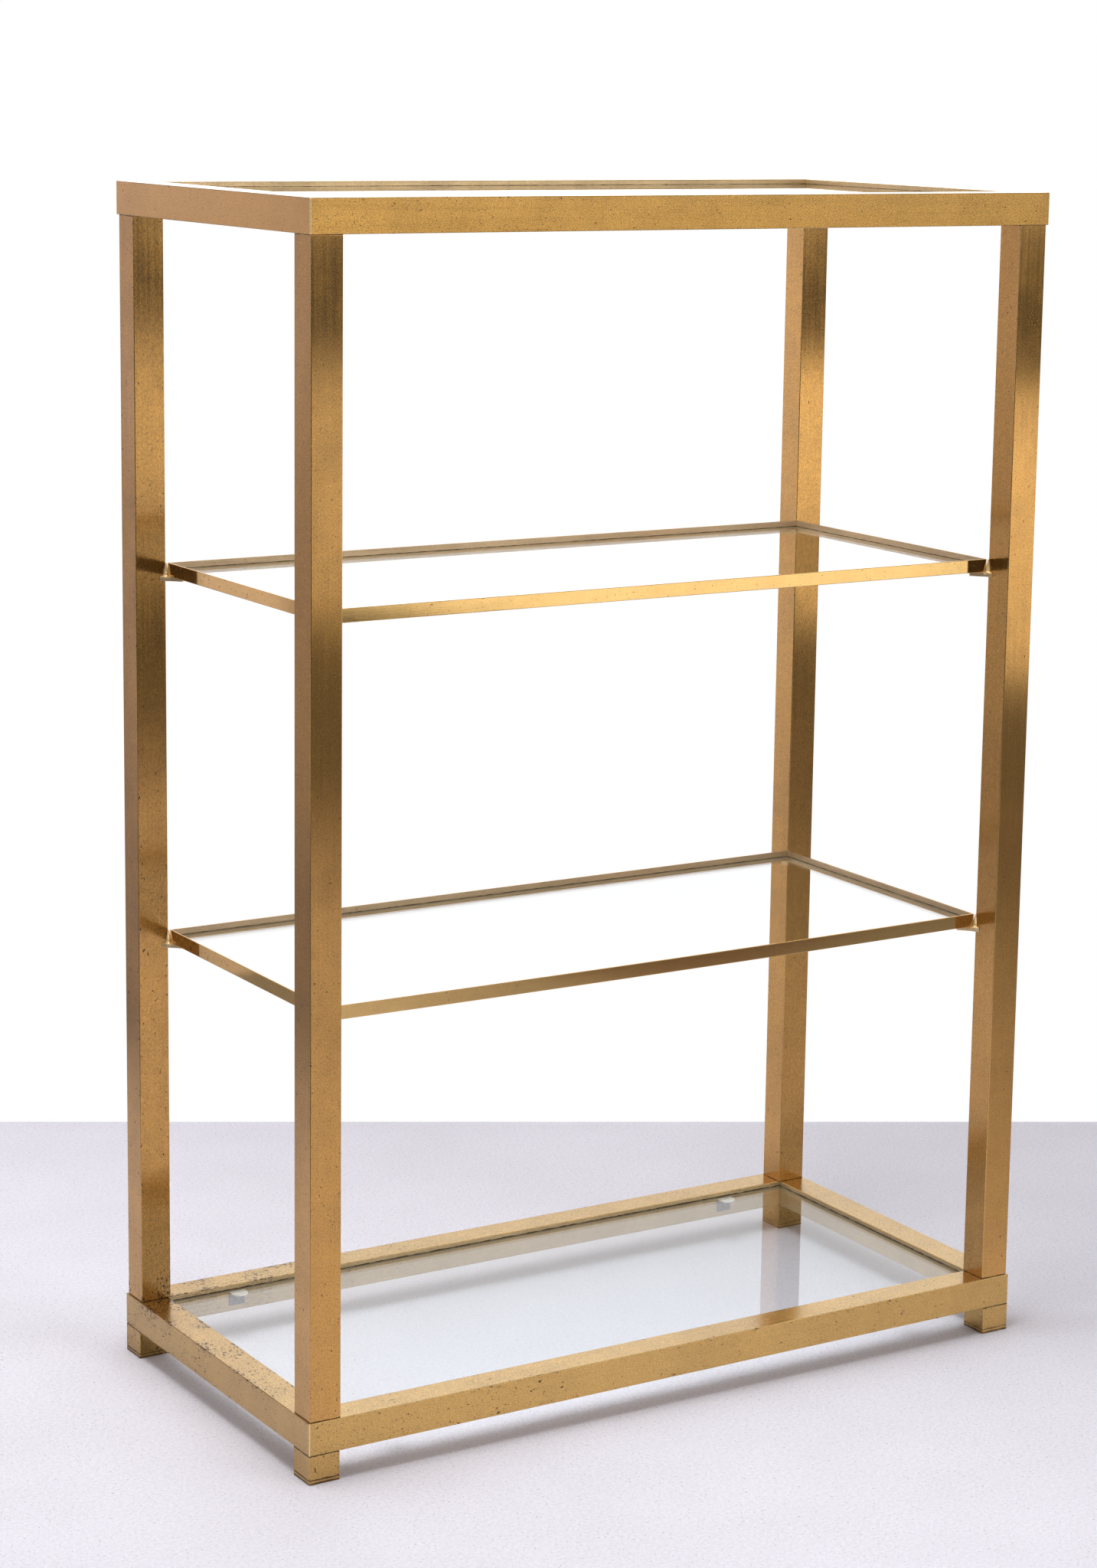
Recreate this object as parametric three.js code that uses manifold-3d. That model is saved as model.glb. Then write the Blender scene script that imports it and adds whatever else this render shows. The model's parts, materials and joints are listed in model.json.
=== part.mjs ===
// Etagere of square brass tube with a glass base, two glass shelves in brass angle frames
// and a glass top. Millimetres, +Z up. The origin lies on the floor, under the middle of the
// footprint. The front is -Y and the long sides run along X.

import * as THREE from 'three';
import { mergeVertices } from 'three/addons/utils/BufferGeometryUtils.js';
import Module from 'manifold-3d';

const wasm = await Module();
wasm.setup();

// Overall size
const WIDTH = 900;
const DEPTH = 442;
const HEIGHT = 1294;

// Square tube of the posts, the rails and the feet
const TUBE_SIDE = 35;
const TUBE_WALL = 1.5;
const TUBE_EDGE_RADIUS = 1;
const TUBE_BORE_RADIUS = 0.5;

// The posts stand a little inside the outer faces of the two frames
const POST_INSET = 2;

// Feet: a stub of tube on a solid cap, whose spigot goes up into the stub
const FOOT_HEIGHT = 31;
const CAP_RIM_HEIGHT = 5;
const CAP_EDGE_BEVEL = 0.8;
const CAP_SPIGOT_HEIGHT = 9;

// Clearance of what slides into a tube, and of a cut round a neighbour
const SLIDE_CLEARANCE = 0.3;

// Solid plugs inside the ends of the posts, and the bolt that ties each lower corner together
const POST_PLUG_LENGTH = 24;
const BOLT_RADIUS = 4;
const BOLT_HEAD_RADIUS = 7.5;
const BOLT_HEAD_HEIGHT = 5.3;
const BOLT_GRIP_IN_PLUG = 18;

// Panes
const GLASS_THICKNESS = 6;
const GLASS_ARRIS = 0.4;
const FRAME_GLASS_RECESS = 5.5;
const FRAME_GLASS_EDGE_GAP = 0.7;
const FRAME_GLASS_CORNER_RADIUS = 8;
const SHELF_GLASS_EDGE_GAP = 0.5;
const SHELF_GLASS_CORNER_RADIUS = 1.5;

// Shelf frames of thin angle, between the posts
const UPPER_SHELF_TOP = 891;
const LOWER_SHELF_TOP = 487;
const SHELF_POST_GAP = 1.3;
const ANGLE_HEIGHT = 14.5;
const ANGLE_LEDGE = 10;
const ANGLE_WALL = 1.5;
const ANGLE_EDGE_RADIUS = 0.6;
const SHELF_CORNER_RADIUS = 2.5;

// Shelf brackets: a stub on the diagonal under each shelf corner, with a flared neck that
// hugs the inner edge of the post
const BRACKET_REACH = 21;
const BRACKET_THICKNESS = 5;
const BRACKET_HALF_WIDTH = 4;
const BRACKET_ROOT_HALF_WIDTH = 5.4;
const BRACKET_END_RADIUS = 1.6;
const BRACKET_EDGE_BEVEL = 0.4;
const NECK_RADIUS = 6.2;
const NECK_WAIST_RADIUS = 2.6;
const NECK_RISE = 4.5;

// Glass clips on the inner faces of the long rails
const CLIP_INSET = 119;
const CLIP_WIDTH = 19;
const CLIP_DEPTH = 17;
const CLIP_HEIGHT = 16.5;
const CLIP_THICKNESS = 1.5;
const CLIP_BEND_RADIUS = 2;
const CLIP_PLATE_CORNER_RADIUS = 1.2;
const CLIP_SCREW_DROP = 9;

// Pan head screws of the clips
const SCREW_RADIUS = 1.75;
const SCREW_LENGTH = 9;
const SCREW_HEAD_RADIUS = 3.4;
const SCREW_HEAD_HEIGHT = 2;
const SCREW_SLOT_WIDTH = 0.8;
const SCREW_SLOT_DEPTH = 0.9;

// How far a cutter runs past what it cuts
const OVERRUN = 2;

// Facets of the round forms. An outline's arc gets twice as many steps as its count says.
const EDGE_SEGMENTS = 2;
const PANE_CORNER_SEGMENTS = 4;
const NECK_SEGMENTS = 20;
const NECK_CURVE_SEGMENTS = 4;
const BOLT_SEGMENTS = 16;
const HEX_SIDES = 6;
const SCREW_SEGMENTS = 14;
const CLIP_NOSE_SEGMENTS = 6;
const WELD_TOLERANCE = 1e-4;

// Levels and places that follow from the sizes above
const BASE_BOTTOM = FOOT_HEIGHT;
const BASE_TOP = BASE_BOTTOM + TUBE_SIDE;
const TOP_FRAME_BOTTOM = HEIGHT - TUBE_SIDE;
const BORE_SIDE = TUBE_SIDE - 2 * TUBE_WALL;
const PLUG_SIDE = BORE_SIDE - 2 * SLIDE_CLEARANCE;
const POST_AXIS_INSET = POST_INSET + TUBE_SIDE / 2;
const POST_INNER_INSET = POST_INSET + TUBE_SIDE;
const FOOT_AXIS_INSET = TUBE_SIDE / 2;
const SHELF_INSET = POST_INNER_INSET + SHELF_POST_GAP;
const SHELF_WIDTH = WIDTH - 2 * SHELF_INSET;
const SHELF_DEPTH = DEPTH - 2 * SHELF_INSET;
const BOLT_HOLE_RADIUS = BOLT_RADIUS + SLIDE_CLEARANCE;
const SCREW_HOLE_RADIUS = SCREW_RADIUS + SLIDE_CLEARANCE;
const QUARTER_TURN = Math.PI / 2;

const brushedBrass = { color: 0xb8874e, roughness: 0.38, metalness: 1 };
const polishedBrass = { color: 0xd9a760, roughness: 0.12, metalness: 1 };
const agedBrass = { color: 0x9a7040, roughness: 0.45, metalness: 1 };
const nickel = { color: 0xb5b2ac, roughness: 0.3, metalness: 1 };
const steel = { color: 0x8f9194, roughness: 0.4, metalness: 1 };
const glass = { color: 0xdfeee8, roughness: 0.03, metalness: 0, transparent: true, opacity: 0.3 };

const CORNERS = [
  { name: 'front_left', x: -1, y: -1 },
  { name: 'front_right', x: 1, y: -1 },
  { name: 'rear_left', x: -1, y: 1 },
  { name: 'rear_right', x: 1, y: 1 },
];

// A frame's four sides, in quarter turns about +Z from the front one
const SIDES = [
  { name: 'front', turns: 0, long: true },
  { name: 'right', turns: 1, long: false },
  { name: 'rear', turns: 2, long: true },
  { name: 'left', turns: 3, long: false },
];

const etagere = new THREE.Group();

function addPiece(name, geometry, finish, place = new THREE.Vector3(), turn = 0) {
  const mesh = new THREE.Mesh(geometry, new THREE.MeshStandardMaterial(finish));
  mesh.name = name;
  mesh.position.copy(place);
  mesh.rotation.z = turn;
  etagere.add(mesh);
}

// Outlines and extrusions

function roundedRectangle(Outline, width, height, radius) {
  const x = width / 2 - radius;
  const y = height / 2 - radius;
  const outline = new Outline();
  outline.absarc(x, y, radius, 0, QUARTER_TURN, false);
  outline.absarc(-x, y, radius, QUARTER_TURN, 2 * QUARTER_TURN, false);
  outline.absarc(-x, -y, radius, 2 * QUARTER_TURN, 3 * QUARTER_TURN, false);
  outline.absarc(x, -y, radius, 3 * QUARTER_TURN, 4 * QUARTER_TURN, false);
  outline.closePath();
  return outline;
}

function extrude(shape, depth, curveSegments = EDGE_SEGMENTS) {
  return new THREE.ExtrudeGeometry(shape, { depth, curveSegments, bevelEnabled: false });
}

// An extrusion with a flat bevel on both faces, inside the outline and inside the depth
function extrudeBevelled(shape, depth, bevel, curveSegments) {
  const geometry = new THREE.ExtrudeGeometry(shape, {
    depth: depth - 2 * bevel,
    curveSegments,
    bevelThickness: bevel,
    bevelSize: bevel,
    bevelOffset: -bevel,
    bevelSegments: 1,
  });
  return geometry.translate(0, 0, bevel);
}

function tubeSection() {
  const section = roundedRectangle(THREE.Shape, TUBE_SIDE, TUBE_SIDE, TUBE_EDGE_RADIUS);
  section.holes.push(roundedRectangle(THREE.Path, BORE_SIDE, BORE_SIDE, TUBE_BORE_RADIUS));
  return section;
}

// Booleans

function solidOf(geometry) {
  const bare = new THREE.BufferGeometry();
  bare.setAttribute('position', geometry.getAttribute('position'));
  bare.setIndex(geometry.getIndex());
  const welded = mergeVertices(bare, WELD_TOLERANCE);
  const corners = welded.getIndex().array;
  const triangles = [];
  for (let i = 0; i < corners.length; i += 3) {
    const [a, b, c] = corners.slice(i, i + 3);
    if (a !== b && b !== c && c !== a) triangles.push(a, b, c);
  }
  return new wasm.Manifold(new wasm.Mesh({
    numProp: 3,
    vertProperties: new Float32Array(welded.getAttribute('position').array),
    triVerts: new Uint32Array(triangles),
  }));
}

function geometryOf(solid) {
  const mesh = solid.getMesh();
  const geometry = new THREE.BufferGeometry();
  geometry.setAttribute('position', new THREE.BufferAttribute(mesh.vertProperties, 3));
  geometry.setIndex(new THREE.BufferAttribute(mesh.triVerts, 1));
  return geometry;
}

function cut(geometry, cutters) {
  let solid = solidOf(geometry);
  for (const cutter of cutters) solid = solid.subtract(solidOf(cutter));
  return geometryOf(solid);
}

function join(geometry, other) {
  return geometryOf(solidOf(geometry).add(solidOf(other)));
}

function keepWithin(geometry, other) {
  return geometryOf(solidOf(geometry).intersect(solidOf(other)));
}

// A cylinder along Z, standing on z = 0
function uprightCylinder(radius, height, sides) {
  const cylinder = new THREE.CylinderGeometry(radius, radius, height, sides);
  return cylinder.rotateX(QUARTER_TURN).translate(0, 0, height / 2);
}

// Mitred rails. A section is drawn with x inward from the rail's outer face and y up. It is
// run along X, and each end is drawn in by as much as a point lies inward, which makes the
// 45 degree mitre.

function mitredRail(section, length) {
  const along = new THREE.Vector3(1, 0, 0);
  const inward = new THREE.Vector3(0, 1, 0);
  const up = new THREE.Vector3(0, 0, 1);
  const rail = extrude(section, length);
  rail.applyMatrix4(new THREE.Matrix4().makeBasis(inward, up, along));
  rail.translate(-length / 2, 0, 0);
  const position = rail.getAttribute('position');
  for (let i = 0; i < position.count; i += 1) {
    const reach = length / 2 - position.getY(i);
    position.setX(i, Math.sign(position.getX(i)) * reach);
  }
  return rail;
}

// Builds the four rails of a frame: finishRail gets each rail and its side before it is placed
function addFrame(prefix, width, depth, bottom, section, finish, finishRail) {
  for (const side of SIDES) {
    const length = side.long ? width : depth;
    const outward = (side.long ? depth : width) / 2;
    const rail = finishRail(mitredRail(section, length), side, length);
    rail.translate(0, -outward, bottom);
    addPiece(`${prefix}_rail_${side.name}`, rail, finish, undefined, side.turns * QUARTER_TURN);
  }
}

function railTubeSection() {
  const section = tubeSection();
  const half = TUBE_SIDE / 2;
  const move = (point) => new THREE.Vector2(point.x + half, point.y + half);
  const points = section.extractPoints(EDGE_SEGMENTS);
  const moved = new THREE.Shape(points.shape.map(move));
  moved.holes = points.holes.map((hole) => new THREE.Path(hole.map(move)));
  return moved;
}

// Places of the clips along a long rail, one towards each end
const CLIP_PLACES = [-1, 1].map((end) => end * (WIDTH / 2 - CLIP_INSET));

// The screw of a clip lies this far above the underside of a frame
const CLIP_LEDGE_HEIGHT = TUBE_SIDE - FRAME_GLASS_RECESS - GLASS_THICKNESS;
const CLIP_SCREW_HEIGHT = CLIP_LEDGE_HEIGHT - CLIP_SCREW_DROP;

// Screw holes in the inner wall of a long rail
function clipScrewCutters() {
  return CLIP_PLACES.map((x) => {
    const drill = uprightCylinder(SCREW_HOLE_RADIUS, TUBE_WALL + 2 * OVERRUN, SCREW_SEGMENTS);
    drill.rotateX(-QUARTER_TURN);
    return drill.translate(x, TUBE_SIDE - TUBE_WALL - OVERRUN, CLIP_SCREW_HEIGHT);
  });
}

// Bolt holes through both walls, on the mitres under the posts
function boltCutters(length) {
  return [-1, 1].map((end) => {
    const drill = uprightCylinder(BOLT_HOLE_RADIUS, TUBE_SIDE + 2 * OVERRUN, BOLT_SEGMENTS);
    return drill.translate(end * (length / 2 - POST_AXIS_INSET), POST_AXIS_INSET, -OVERRUN);
  });
}

addFrame('base', WIDTH, DEPTH, BASE_BOTTOM, railTubeSection(), brushedBrass, (rail, side, length) => {
  const screws = side.long ? clipScrewCutters() : [];
  return cut(rail, [...boltCutters(length), ...screws]);
});

addFrame('top', WIDTH, DEPTH, TOP_FRAME_BOTTOM, railTubeSection(), brushedBrass, (rail, side) => {
  return side.long ? cut(rail, clipScrewCutters()) : rail;
});

// Posts and feet

function cornerPlace(corner, inset, z) {
  return new THREE.Vector3(corner.x * (WIDTH / 2 - inset), corner.y * (DEPTH / 2 - inset), z);
}

function footCap() {
  const rimOutline = roundedRectangle(THREE.Shape, TUBE_SIDE, TUBE_SIDE, TUBE_EDGE_RADIUS);
  const rim = extrudeBevelled(rimOutline, CAP_RIM_HEIGHT, CAP_EDGE_BEVEL, EDGE_SEGMENTS);
  const spigotOutline = roundedRectangle(THREE.Shape, PLUG_SIDE, PLUG_SIDE, TUBE_EDGE_RADIUS);
  const spigot = extrudeBevelled(
    spigotOutline,
    CAP_SPIGOT_HEIGHT + CAP_RIM_HEIGHT / 2,
    CAP_EDGE_BEVEL,
    EDGE_SEGMENTS,
  );
  return join(rim, spigot.translate(0, 0, CAP_RIM_HEIGHT / 2));
}

for (const corner of CORNERS) {
  const post = extrude(tubeSection(), TOP_FRAME_BOTTOM - BASE_TOP);
  addPiece(`post_${corner.name}`, post, brushedBrass, cornerPlace(corner, POST_AXIS_INSET, BASE_TOP));

  const foot = extrude(tubeSection(), FOOT_HEIGHT - CAP_RIM_HEIGHT);
  const footPlace = cornerPlace(corner, FOOT_AXIS_INSET, CAP_RIM_HEIGHT);
  addPiece(`foot_${corner.name}`, foot, brushedBrass, footPlace);
  addPiece(`foot_cap_${corner.name}`, footCap(), agedBrass, cornerPlace(corner, FOOT_AXIS_INSET, 0));
}

// Inside the corners: a drilled plug in the foot of each post, a blind one in its head, and a
// bolt from inside the foot, through both walls of the base frame, into the drilled plug

function postPlug(drilled) {
  const outline = roundedRectangle(THREE.Shape, PLUG_SIDE, PLUG_SIDE, TUBE_EDGE_RADIUS);
  const plug = extrude(outline, POST_PLUG_LENGTH);
  if (!drilled) return plug;
  const drill = uprightCylinder(BOLT_HOLE_RADIUS, POST_PLUG_LENGTH + 2 * OVERRUN, BOLT_SEGMENTS);
  return cut(plug, [drill.translate(0, 0, -OVERRUN)]);
}

// The underside of the head lies on z = 0
function cornerBolt() {
  const shankLength = TUBE_SIDE + BOLT_GRIP_IN_PLUG;
  const shank = uprightCylinder(BOLT_RADIUS, shankLength + BOLT_HEAD_HEIGHT / 2, BOLT_SEGMENTS);
  shank.translate(0, 0, -BOLT_HEAD_HEIGHT / 2);
  const head = uprightCylinder(BOLT_HEAD_RADIUS, BOLT_HEAD_HEIGHT, HEX_SIDES);
  return join(head.translate(0, 0, -BOLT_HEAD_HEIGHT), shank);
}

for (const corner of CORNERS) {
  const place = (z) => cornerPlace(corner, POST_AXIS_INSET, z);
  addPiece(`post_foot_plug_${corner.name}`, postPlug(true), steel, place(BASE_TOP));
  const headPlugBottom = TOP_FRAME_BOTTOM - POST_PLUG_LENGTH;
  addPiece(`post_head_plug_${corner.name}`, postPlug(false), steel, place(headPlugBottom));
  addPiece(`corner_bolt_${corner.name}`, cornerBolt(), steel, place(BASE_BOTTOM));
}

// Glass clips. In its own axes a clip has x along the rail, y inward from the rail's face and
// z up, with z = 0 at the top of its ledge.

function clip() {
  // Profile, with x for the clip's y and y for its z
  const innerBend = CLIP_BEND_RADIUS - CLIP_THICKNESS;
  const profile = new THREE.Shape();
  profile.moveTo(0, -CLIP_HEIGHT);
  profile.lineTo(CLIP_THICKNESS, -CLIP_HEIGHT);
  profile.absarc(CLIP_BEND_RADIUS, -CLIP_BEND_RADIUS, innerBend, Math.PI, QUARTER_TURN, true);
  profile.lineTo(CLIP_DEPTH, -CLIP_THICKNESS);
  profile.lineTo(CLIP_DEPTH, 0);
  profile.absarc(CLIP_BEND_RADIUS, -CLIP_BEND_RADIUS, CLIP_BEND_RADIUS, QUARTER_TURN, Math.PI, false);
  const strip = extrude(profile, CLIP_WIDTH);
  strip.applyMatrix4(new THREE.Matrix4().makeBasis(
    new THREE.Vector3(0, 1, 0),
    new THREE.Vector3(0, 0, 1),
    new THREE.Vector3(1, 0, 0),
  ));
  strip.translate(-CLIP_WIDTH / 2, 0, 0);

  // The ledge ends in a half circle
  const noseRadius = CLIP_WIDTH / 2;
  const plan = new THREE.Shape();
  plan.moveTo(-noseRadius, -OVERRUN);
  plan.lineTo(noseRadius, -OVERRUN);
  plan.absarc(0, CLIP_DEPTH - noseRadius, noseRadius, 0, 2 * QUARTER_TURN, false);
  const nose = extrude(plan, CLIP_HEIGHT + 2 * OVERRUN, CLIP_NOSE_SEGMENTS);
  nose.translate(0, 0, -CLIP_HEIGHT - OVERRUN);

  // The plate's lower corners are rounded
  const face = new THREE.Shape();
  face.moveTo(noseRadius, OVERRUN);
  face.lineTo(-noseRadius, OVERRUN);
  const cornerX = noseRadius - CLIP_PLATE_CORNER_RADIUS;
  const cornerZ = CLIP_PLATE_CORNER_RADIUS - CLIP_HEIGHT;
  face.absarc(-cornerX, cornerZ, CLIP_PLATE_CORNER_RADIUS, 2 * QUARTER_TURN, 3 * QUARTER_TURN, false);
  face.absarc(cornerX, cornerZ, CLIP_PLATE_CORNER_RADIUS, 3 * QUARTER_TURN, 4 * QUARTER_TURN, false);
  const front = extrude(face, CLIP_DEPTH + 2 * OVERRUN);
  front.rotateX(QUARTER_TURN).translate(0, CLIP_DEPTH + OVERRUN, 0);

  return keepWithin(keepWithin(strip, nose), front);
}

// A slotted pan head screw along Y: the head stands on y = 0 and the shank goes towards -Y
function clipScrew() {
  const headEdge = SCREW_HEAD_HEIGHT / 2;
  const head = new THREE.Shape();
  head.moveTo(0, -SCREW_LENGTH);
  head.lineTo(SCREW_RADIUS, -SCREW_LENGTH);
  head.lineTo(SCREW_RADIUS, 0);
  head.lineTo(SCREW_HEAD_RADIUS, 0);
  head.lineTo(SCREW_HEAD_RADIUS, headEdge);
  head.quadraticCurveTo(SCREW_HEAD_RADIUS, SCREW_HEAD_HEIGHT, 0, SCREW_HEAD_HEIGHT);
  const screw = new THREE.LatheGeometry(head.getPoints(EDGE_SEGMENTS), SCREW_SEGMENTS);
  const slot = new THREE.BoxGeometry(2 * SCREW_HEAD_RADIUS + OVERRUN, SCREW_HEAD_HEIGHT, SCREW_SLOT_WIDTH);
  slot.translate(0, 3 * SCREW_HEAD_HEIGHT / 2 - SCREW_SLOT_DEPTH, 0);
  return cut(screw, [slot]);
}

// Each clip is one piece with the screw that is driven tight through it
function addClips(prefix, frameBottom) {
  const ledgeTop = frameBottom + CLIP_LEDGE_HEIGHT;
  for (const side of SIDES.filter((each) => each.long)) {
    const turn = side.turns * QUARTER_TURN;
    for (const x of CLIP_PLACES) {
      const place = new THREE.Vector3(x, TUBE_SIDE - DEPTH / 2, ledgeTop);
      place.applyAxisAngle(new THREE.Vector3(0, 0, 1), turn);
      const hand = place.x < 0 ? 'left' : 'right';
      const screw = clipScrew().translate(0, CLIP_THICKNESS, -CLIP_SCREW_DROP);
      addPiece(`${prefix}_clip_${side.name}_${hand}`, join(clip(), screw), nickel, place, turn);
    }
  }
}

addClips('base', BASE_BOTTOM);
addClips('top', TOP_FRAME_BOTTOM);

// Panes. Those of the base and the top lie on the clips, inside their frames.

function pane(width, depth, cornerRadius) {
  const outline = roundedRectangle(THREE.Shape, width, depth, cornerRadius);
  return extrudeBevelled(outline, GLASS_THICKNESS, GLASS_ARRIS, PANE_CORNER_SEGMENTS);
}

function framePane() {
  const margin = 2 * (TUBE_SIDE + FRAME_GLASS_EDGE_GAP);
  return pane(WIDTH - margin, DEPTH - margin, FRAME_GLASS_CORNER_RADIUS);
}

const FRAME_GLASS_DROP = FRAME_GLASS_RECESS + GLASS_THICKNESS;
addPiece('base_glass', framePane(), glass, new THREE.Vector3(0, 0, BASE_TOP - FRAME_GLASS_DROP));
addPiece('top_glass', framePane(), glass, new THREE.Vector3(0, 0, HEIGHT - FRAME_GLASS_DROP));

// Shelves: mitred angle with rounded outer edges, and a pane on its ledge

function angleSection() {
  const radius = ANGLE_EDGE_RADIUS;
  const section = new THREE.Shape();
  section.absarc(radius, radius, radius, 2 * QUARTER_TURN, 3 * QUARTER_TURN, false);
  section.lineTo(ANGLE_LEDGE, 0);
  section.lineTo(ANGLE_LEDGE, ANGLE_WALL);
  section.lineTo(ANGLE_WALL, ANGLE_WALL);
  section.lineTo(ANGLE_WALL, ANGLE_HEIGHT);
  section.absarc(radius, ANGLE_HEIGHT - radius, radius, QUARTER_TURN, 2 * QUARTER_TURN, false);
  return section;
}

// The frame's outline with its rounded corners, in the axes of a rail that isn't placed yet
function shelfOutlineBlock(side) {
  const width = side.long ? SHELF_WIDTH : SHELF_DEPTH;
  const depth = side.long ? SHELF_DEPTH : SHELF_WIDTH;
  const outline = roundedRectangle(THREE.Shape, width, depth, SHELF_CORNER_RADIUS);
  const block = extrude(outline, ANGLE_HEIGHT + 2 * OVERRUN, EDGE_SEGMENTS);
  return block.translate(0, depth / 2, -OVERRUN);
}

function addShelf(prefix, top) {
  const bottom = top - ANGLE_HEIGHT;
  addFrame(prefix, SHELF_WIDTH, SHELF_DEPTH, bottom, angleSection(), polishedBrass, (rail, side) => {
    return keepWithin(rail, shelfOutlineBlock(side));
  });
  const margin = 2 * (ANGLE_WALL + SHELF_GLASS_EDGE_GAP);
  const shelfPane = pane(SHELF_WIDTH - margin, SHELF_DEPTH - margin, SHELF_GLASS_CORNER_RADIUS);
  addPiece(`${prefix}_glass`, shelfPane, glass, new THREE.Vector3(0, 0, bottom + ANGLE_WALL));
}

// A bracket in its own axes: x runs from the post's inner edge along the diagonal under the
// shelf, and z = 0 is the underside of the shelf.

// A square block turned on its corner, which lies on x = cornerX and points along the sign
function diamond(side, radius, cornerX, sign, bottom) {
  const height = BRACKET_THICKNESS + NECK_RISE + 2 * OVERRUN;
  const square = extrude(roundedRectangle(THREE.Shape, side, side, radius), height);
  square.rotateZ(QUARTER_TURN / 2);
  return square.translate(cornerX - sign * side * Math.SQRT1_2, 0, bottom);
}

function bracket() {
  // The stub's plan: round end corners, and sides that flare out towards the post
  const straight = BRACKET_REACH / 2;
  const tail = BRACKET_ROOT_HALF_WIDTH;
  const endX = BRACKET_REACH - BRACKET_END_RADIUS;
  const endY = BRACKET_HALF_WIDTH - BRACKET_END_RADIUS;
  const plan = new THREE.Shape();
  plan.moveTo(-tail, -tail);
  plan.lineTo(0, -tail);
  plan.quadraticCurveTo(NECK_RADIUS / 2, -BRACKET_HALF_WIDTH, straight, -BRACKET_HALF_WIDTH);
  plan.absarc(endX, -endY, BRACKET_END_RADIUS, 3 * QUARTER_TURN, 4 * QUARTER_TURN, false);
  plan.absarc(endX, endY, BRACKET_END_RADIUS, 0, QUARTER_TURN, false);
  plan.lineTo(straight, BRACKET_HALF_WIDTH);
  plan.quadraticCurveTo(NECK_RADIUS / 2, BRACKET_HALF_WIDTH, 0, tail);
  plan.lineTo(-tail, tail);
  const stub = extrudeBevelled(plan, BRACKET_THICKNESS, BRACKET_EDGE_BEVEL, EDGE_SEGMENTS);
  stub.translate(0, 0, -BRACKET_THICKNESS);

  // The neck is turned, with a hollow curve from its foot in the stub to its waist
  const neckProfile = new THREE.Path();
  neckProfile.moveTo(0, -BRACKET_THICKNESS / 2);
  neckProfile.lineTo(NECK_RADIUS, -BRACKET_THICKNESS / 2);
  neckProfile.lineTo(NECK_RADIUS, 0);
  neckProfile.quadraticCurveTo(NECK_WAIST_RADIUS, 0, NECK_WAIST_RADIUS, NECK_RISE);
  neckProfile.lineTo(0, NECK_RISE);
  const neck = new THREE.LatheGeometry(neckProfile.getPoints(NECK_CURVE_SEGMENTS), NECK_SEGMENTS);
  neck.rotateX(QUARTER_TURN);

  // Both are notched round the post, and the neck also round the corner of the shelf
  const gap = SLIDE_CLEARANCE;
  const postBottom = -BRACKET_THICKNESS - OVERRUN;
  const post = diamond(TUBE_SIDE + 2 * gap, TUBE_EDGE_RADIUS + gap, gap * Math.SQRT2, 1, postBottom);
  const shelfCornerX = (SHELF_POST_GAP - gap) * Math.SQRT2;
  const shelf = diamond(2 * BRACKET_REACH, SHELF_CORNER_RADIUS + gap, shelfCornerX, -1, 0);
  return cut(join(stub, neck), [post, shelf]);
}

function addBrackets(prefix, shelfBottom) {
  for (const corner of CORNERS) {
    const place = cornerPlace(corner, POST_INNER_INSET, shelfBottom);
    const turn = Math.atan2(-corner.y, -corner.x);
    addPiece(`${prefix}_bracket_${corner.name}`, bracket(), polishedBrass, place, turn);
  }
}

for (const [prefix, top] of [['upper_shelf', UPPER_SHELF_TOP], ['lower_shelf', LOWER_SHELF_TOP]]) {
  addShelf(prefix, top);
  addBrackets(prefix, top - ANGLE_HEIGHT);
}

export default etagere;
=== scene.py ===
"""Etagere of square brass tube with glass shelves: finishes, fine surfaces, studio and camera."""

import json
import math

import bmesh
import bpy
from mathutils import Matrix, Vector


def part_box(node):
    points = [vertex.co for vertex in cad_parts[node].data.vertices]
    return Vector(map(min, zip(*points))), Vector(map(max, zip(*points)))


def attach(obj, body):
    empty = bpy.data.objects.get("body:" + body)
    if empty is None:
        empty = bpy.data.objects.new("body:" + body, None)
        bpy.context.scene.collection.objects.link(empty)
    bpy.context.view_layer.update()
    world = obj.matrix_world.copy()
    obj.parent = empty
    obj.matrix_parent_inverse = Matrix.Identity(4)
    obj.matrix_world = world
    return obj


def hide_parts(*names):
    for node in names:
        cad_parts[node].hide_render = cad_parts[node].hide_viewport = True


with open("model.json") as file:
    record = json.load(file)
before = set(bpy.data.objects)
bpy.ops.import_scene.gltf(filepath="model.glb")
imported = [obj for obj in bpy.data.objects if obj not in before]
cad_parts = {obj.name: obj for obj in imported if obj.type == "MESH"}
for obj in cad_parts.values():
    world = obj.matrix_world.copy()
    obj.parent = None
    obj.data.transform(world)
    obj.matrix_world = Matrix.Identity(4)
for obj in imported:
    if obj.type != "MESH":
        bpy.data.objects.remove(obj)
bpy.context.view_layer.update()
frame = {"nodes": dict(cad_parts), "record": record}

MM = 0.001
QUARTER = math.pi / 2
bodies = frame["record"]["behaviour"]["bodies"]
BODY_OF = {node: body for body, nodes in bodies.items() for node in nodes}
CORNERS = {
    "front_left": (-1, -1),
    "front_right": (1, -1),
    "rear_left": (-1, 1),
    "rear_right": (1, 1),
}
# Quarter turns about +Z from the front side
SIDES = {"front": 0, "right": 1, "rear": 2, "left": 3}

# Square tube and the fine rounding of its edges
TUBE_SIDE = 35 * MM
TUBE_WALL = 1.5 * MM
TUBE_EDGE_RADIUS = 1.0 * MM
BORE_RADIUS = 0.5 * MM
MITRE_EDGE_RADIUS = 1.0 * MM
TUBE_END_EASE = 0.3 * MM
ARC_STEPS = 5

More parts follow.
